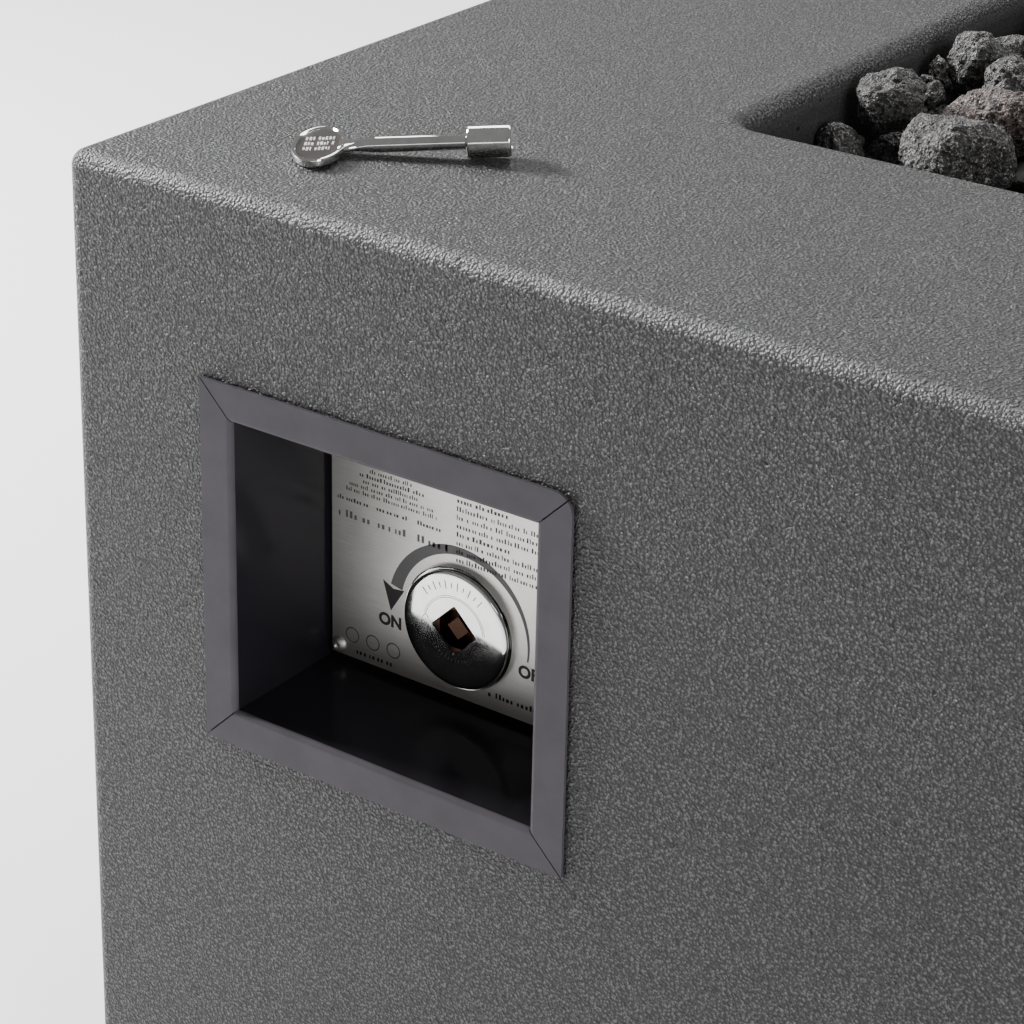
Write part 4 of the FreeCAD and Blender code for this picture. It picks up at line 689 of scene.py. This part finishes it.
def metal_piece(name, skins, place, body, material, replaced=(), angle=30):
    """One piece of several skins in millimetres, smooth up to an edge angle."""
    points, faces = [], []
    for skin_points, skin_faces in skins:
        start = len(points)
        points.extend(place @ Vector(p) for p in skin_points)
        faces.extend([tuple(i + start for i in f) for f in skin_faces])
    mesh = mesh_of(name, points, faces)
    tidy = bmesh.new()
    tidy.from_mesh(mesh)
    bmesh.ops.recalc_face_normals(tidy, faces=tidy.faces)
    tidy.to_mesh(mesh)
    tidy.free()
    smooth(mesh)
    mesh.set_sharp_from_angle(angle=math.radians(angle))
    piece(name, mesh, body, material, replaced)


def make_escutcheon():
    """The chromed disc as rings about the valve axis, with its chamfered square opening."""
    half_diagonal = 13.3 / math.sqrt(2)
    corner = 0.9
    turns = [2 * math.pi * i / 256 for i in range(256)]

    def diamond(turn, reach):
        c, s = abs(math.cos(turn)), abs(math.sin(turn))
        straight = reach / (c + s)
        blunt = (reach - corner * (math.sqrt(2) - 1)) / max(c, s)
        return min(straight, blunt) if max(c, s) > 0.97 else straight

    def ring(radius_at, y):
        radii = [radius_at(t) for t in turns]
        return [(r * math.cos(t), y, r * math.sin(t)) for r, t in zip(radii, turns)]

    face_y = (DISC_LOW.y - VALVE.y) / MM
    back_y = (DISC_HIGH.y - VALVE.y) / MM
    # How far the opening widens and how deep it lies, then radius and depth behind the front of
    # the disc, and at the rim radius and height above the back of the disc
    opening = ((0.0, 1.5), (0.0, 0.42), (0.42, -0.06), (0.6, -0.06), (1.5, -0.065))
    face = ((13.0, -0.1), (17.0, -0.06), (20.6, 0.02), (21.6, 0.12), (22.1, 0.45), (22.3, 0.9))
    rim = ((22.3, 1.1), (22.75, 1.1), (22.75, 1.9), (22.85, 2.15), (23.05, 2.2), (23.25, 2.0), (23.3, 1.7),
           (23.3, 0.0), (19.9, 0.0))
    rings = [ring(lambda t, g=grow: diamond(t, half_diagonal + g), face_y + y) for grow, y in opening]
    rings += [ring(lambda t, r=radius: r, face_y + y) for radius, y in face]
    rings += [ring(lambda t, r=radius: r, back_y - y) for radius, y in rim]
    rings.append(ring(lambda t: 19.9, face_y + 1.5))
    place = Matrix.Translation(VALVE) @ Matrix.Scale(MM, 4)
    skins = [skin(rings, wrapped=True)]
    metal_piece("escutcheon_look", skins, place, "table", CHROME, ("escutcheon",), 28)

    marks = Print(DISC_LOW.y - 0.13 * MM)
    for inner, outer in ((12.55, 12.75), (13.25, 13.4)):
        marks.ribbon(arc_points(inner, 8, 166, 60), arc_points(outer, 8, 166, 60))
    tip = (-12.4, 3.1)
    for end in ((-11.0, 1.6), (-13.6, 1.3)):
        dx, dz = end[0] - tip[0], end[1] - tip[1]
        marks.bar(tip[0] + dx / 2, tip[1] + dz / 2, math.hypot(dx, dz), 0.22, math.atan2(dz, dx))
    # A plain scale of strokes above the opening, and a finer one below it
    for k in range(11):
        turn = math.radians(52 + k * 8.5)
        length = 1.8 if k % 2 else 3.2
        marks.bar(17.4 * math.cos(turn), 17.4 * math.sin(turn), 0.3, length, turn - math.pi / 2)
    for k in range(15):
        turn = math.radians(-138 + k * 7.4)
        marks.bar(11.7 * math.cos(turn), 11.7 * math.sin(turn), 0.26, 1.2, turn - math.pi / 2)
    for text, x, z in (("ON", -12.6, -1.0), ("OFF", 12.9, -2.0)):
        marks.text(text, 2.3, x, z, tilt=-14)
    marks.make("escutcheon_marks", ENGRAVED)


make_escutcheon()


# The valve key in millimetres about the middle of its oval head, with its shaft along +X
HEAD_X, HEAD_Y, HEAD_THICK = 9.3, 18.0, 2.8
SHAFT_RADIUS, BARREL_RADIUS = 2.75, 5.55
BARREL_END = 65.7
SOCKET_HALF = 3.3
KEY_TURNS = [2 * math.pi * i / 96 for i in range(96)]


def key_place():
    """The key lies on the top, on the edge of its head and on its barrel."""
    rise = math.atan2(BARREL_RADIUS - HEAD_THICK / 2, 60.9)
    yaw = math.radians(33)
    along = Vector((math.cos(yaw) * math.cos(rise), math.sin(yaw) * math.cos(rise), math.sin(rise)))
    across = Vector((-math.sin(yaw), math.cos(yaw), 0))
    over = along.cross(across)
    head_reach = HEAD_X * math.sin(rise) + HEAD_THICK / 2 * math.cos(rise)
    above_top = 0.2 + head_reach
    spot = Vector((SHELL_LOW.x + 70.5 * MM, SHELL_LOW.y + 50.5 * MM, TOP + above_top * MM))
    rows = [(along[i] * MM, across[i] * MM, over[i] * MM, spot[i]) for i in range(3)]
    return Matrix((*rows, (0, 0, 0, 1)))


def oval(inset, z):
    """A ring inside the outline of the key's head."""
    return [((HEAD_X - inset) * math.cos(t), (HEAD_Y - inset) * math.sin(t), z) for t in KEY_TURNS]


def slab(x, y_half, z_half, power=1.0):
    """A ring across the shaft, rounder or squarer with its power."""
    ring = []
    for t in KEY_TURNS:
        c, s = math.cos(t), math.sin(t)
        y = y_half * math.copysign(abs(c) ** power, c)
        ring.append((x, y, z_half * math.copysign(abs(s) ** power, s)))
    return ring


def square(x, half):
    ring = []
    for t in KEY_TURNS:
        c, s = math.cos(t), math.sin(t)
        r = half / max(abs(c), abs(s))
        ring.append((x, r * c, r * s))
    return ring


def make_key():
    # Inset and height of the raised bead round the head
    bead = ((1.75, 0.86), (1.5, 0.9), (1.25, 1.15), (0.95, 1.42), (0.6, 1.5), (0.25, 1.38), (0.05, 1.05),
            (0, 0.6))
    head = [oval(inset, z) for inset, z in bead] + [oval(inset, -z) for inset, z in reversed(bead)]
    # Along the neck: place, half width, half thickness and squareness
    neck = [slab(*row) for row in (
        (6.9, 7.0, 1.25, 0.7), (8.2, 5.6, 1.35, 0.7), (9.6, 4.5, 1.4, 0.75), (11.6, 3.4, 1.55, 0.85),
        (14.0, 2.7, 1.95), (16.2, 2.5, 2.3), (18.6, 2.72, 2.7), (19.4, SHAFT_RADIUS, SHAFT_RADIUS))]
    shaft = [slab(x, r, r) for x, r in (
        (19.4, SHAFT_RADIUS), (30, SHAFT_RADIUS), (49.6, SHAFT_RADIUS), (50.1, 2.9), (50.4, 3.3),
        (50.5, 3.6))]
    barrel = [slab(x, r, r) for x, r in (
        (50.4, 3.2), (50.5, 4.9), (50.7, 5.3), (51.1, BARREL_RADIUS), (52.0, BARREL_RADIUS),
        (60, BARREL_RADIUS), (64.9, BARREL_RADIUS), (65.3, 5.42), (65.6, 5.1), (BARREL_END, 4.7))]
    barrel += [square(BARREL_END, SOCKET_HALF + 0.05), square(65.6, SOCKET_HALF), square(54, SOCKET_HALF)]
    place = key_place()
    skins = [skin(rings) for rings in (head, neck, shaft, barrel)]
    metal_piece("valve_key_look", skins, place, "key", CHROME, ("valve_key",))
    face = [oval(1.55, 0.9), oval(1.7, 0.95), oval(3.0, 0.97), oval(6.5, 0.97)]
    metal_piece("valve_key_face", [skin(face)], place, "key", KEY_FACE)

    # Three rows of raised bars stand for the text
    bars = []
    draw = random.Random(5)
    for row in (-5.4, 0.0, 5.4):
        x = -5.0
        while x < 4.6:
            wide = draw.uniform(0.45, 0.95)
            tall = draw.choice((3.4, 3.4, 2.6))
            y = row - 1.7 + (3.4 - tall) * draw.choice((0, 1))
            corners = ((0, 0), (1, 0), (1, 1), (0, 1))
            foot = [(x + a * wide, y + b * tall, 0.95) for a, b in corners]
            crest = [(x + (0.1 + a * 0.8) * wide, y + (0.05 + b * 0.9) * tall, 1.25) for a, b in corners]
            bars.append(skin([foot, crest]))
            x += wide + draw.choice((0.4, 0.4, 0.4, 1.2))
    metal_piece("valve_key_marks", bars, place, "key", RIVET)


def make_rivets():
    """Domed blind rivets with a dimple where the mandrel broke off."""
    rivet_low, rivet_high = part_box("plate_rivets")
    plate = PLATE_LOW.y / MM
    back = rivet_high.y / MM - plate
    head = 2.9
    # Radius and depth from the plate's front: the dimple, the dome, the shank and the tail
    profile = ((0.35, -0.86), (0.65, -0.92), (0.9, -1.45), (1.2, -1.7), (1.7, -1.62), (2.4, -1.25),
               (2.95, -0.7), (3.25, -0.25), (3.3, 0.0), (1.6, 0.0), (1.6, back - 1.4), (2.2, back - 1.0),
               (2.2, back - 0.3), (1.2, back))
    turns = [2 * math.pi * i / 40 for i in range(40)]
    skins = []
    for x in (rivet_low.x / MM + head, rivet_high.x / MM - head):
        for z in (rivet_low.z / MM + head, rivet_high.z / MM - head):
            rings = []
            for radius, depth in profile:
                y = plate + depth
                rings.append([(x + radius * math.cos(t), y, z + radius * math.sin(t)) for t in turns])
            skins.append(skin(rings))
    place = Matrix.Scale(MM, 4)
    metal_piece("plate_rivets_look", skins, place, "table", RIVET, ("plate_rivets",), 50)


make_key()
make_rivets()


# Floor, lights and camera
def make_stage():
    r = FLOOR_REACH
    mesh = mesh_of("floor", [(-r, -r, 0), (r, -r, 0), (r, r, 0), (-r, r, 0)], [(0, 1, 2, 3)])
    floor = bpy.data.objects.new("floor", mesh)
    bpy.context.scene.collection.objects.link(floor)
    look = bpy.data.materials.new("floor")
    look.use_nodes = True
    shader = look.node_tree.nodes["Principled BSDF"]
    shader.inputs["Base Color"].default_value = (FLOOR_WHITE, FLOOR_WHITE, FLOOR_WHITE, 1)
    shader.inputs["Roughness"].default_value = 0.9
    mesh.materials.append(look)
    world = bpy.data.worlds.new("studio")
    bpy.context.scene.world = world
    world.use_nodes = True
    sky = world.node_tree.nodes["Background"]
    sky.inputs["Color"].default_value = (1, 1, 1, 1)
    sky.inputs["Strength"].default_value = SKY_STRENGTH


def make_lights():
    for name, (spot, aim, width, height, power) in LIGHTS.items():
        data = bpy.data.lights.new(name, "AREA")
        data.energy = power
        data.shape = "RECTANGLE"
        data.size = width
        data.size_y = height
        lamp = bpy.data.objects.new(name, data)
        bpy.context.scene.collection.objects.link(lamp)
        lamp.location = spot
        lamp.rotation_mode = "QUATERNION"
        lamp.rotation_quaternion = (Vector(aim) - Vector(spot)).to_track_quat("-Z", "Y")


def make_camera():
    data = bpy.data.cameras.new("camera")
    data.lens = LENS
    data.shift_y = SHIFT_Y
    data.sensor_width = SENSOR
    data.clip_start = 0.05
    data.clip_end = 60
    camera = bpy.data.objects.new("camera", data)
    bpy.context.scene.collection.objects.link(camera)
    level = math.cos(RISE)
    ahead = Vector((-math.sin(TURN) * level, math.cos(TURN) * level, -math.sin(RISE)))
    side = Vector((math.cos(TURN), math.sin(TURN), 0))
    over = side.cross(ahead)
    right = side * math.cos(ROLL) + over * math.sin(ROLL)
    up = over * math.cos(ROLL) - side * math.sin(ROLL)
    rows = [(right[i], up[i], -ahead[i], CAMERA_SPOT[i]) for i in range(3)]
    camera.matrix_world = Matrix((*rows, (0, 0, 0, 1)))
    bpy.context.scene.camera = camera


make_stage()
make_lights()
make_camera()
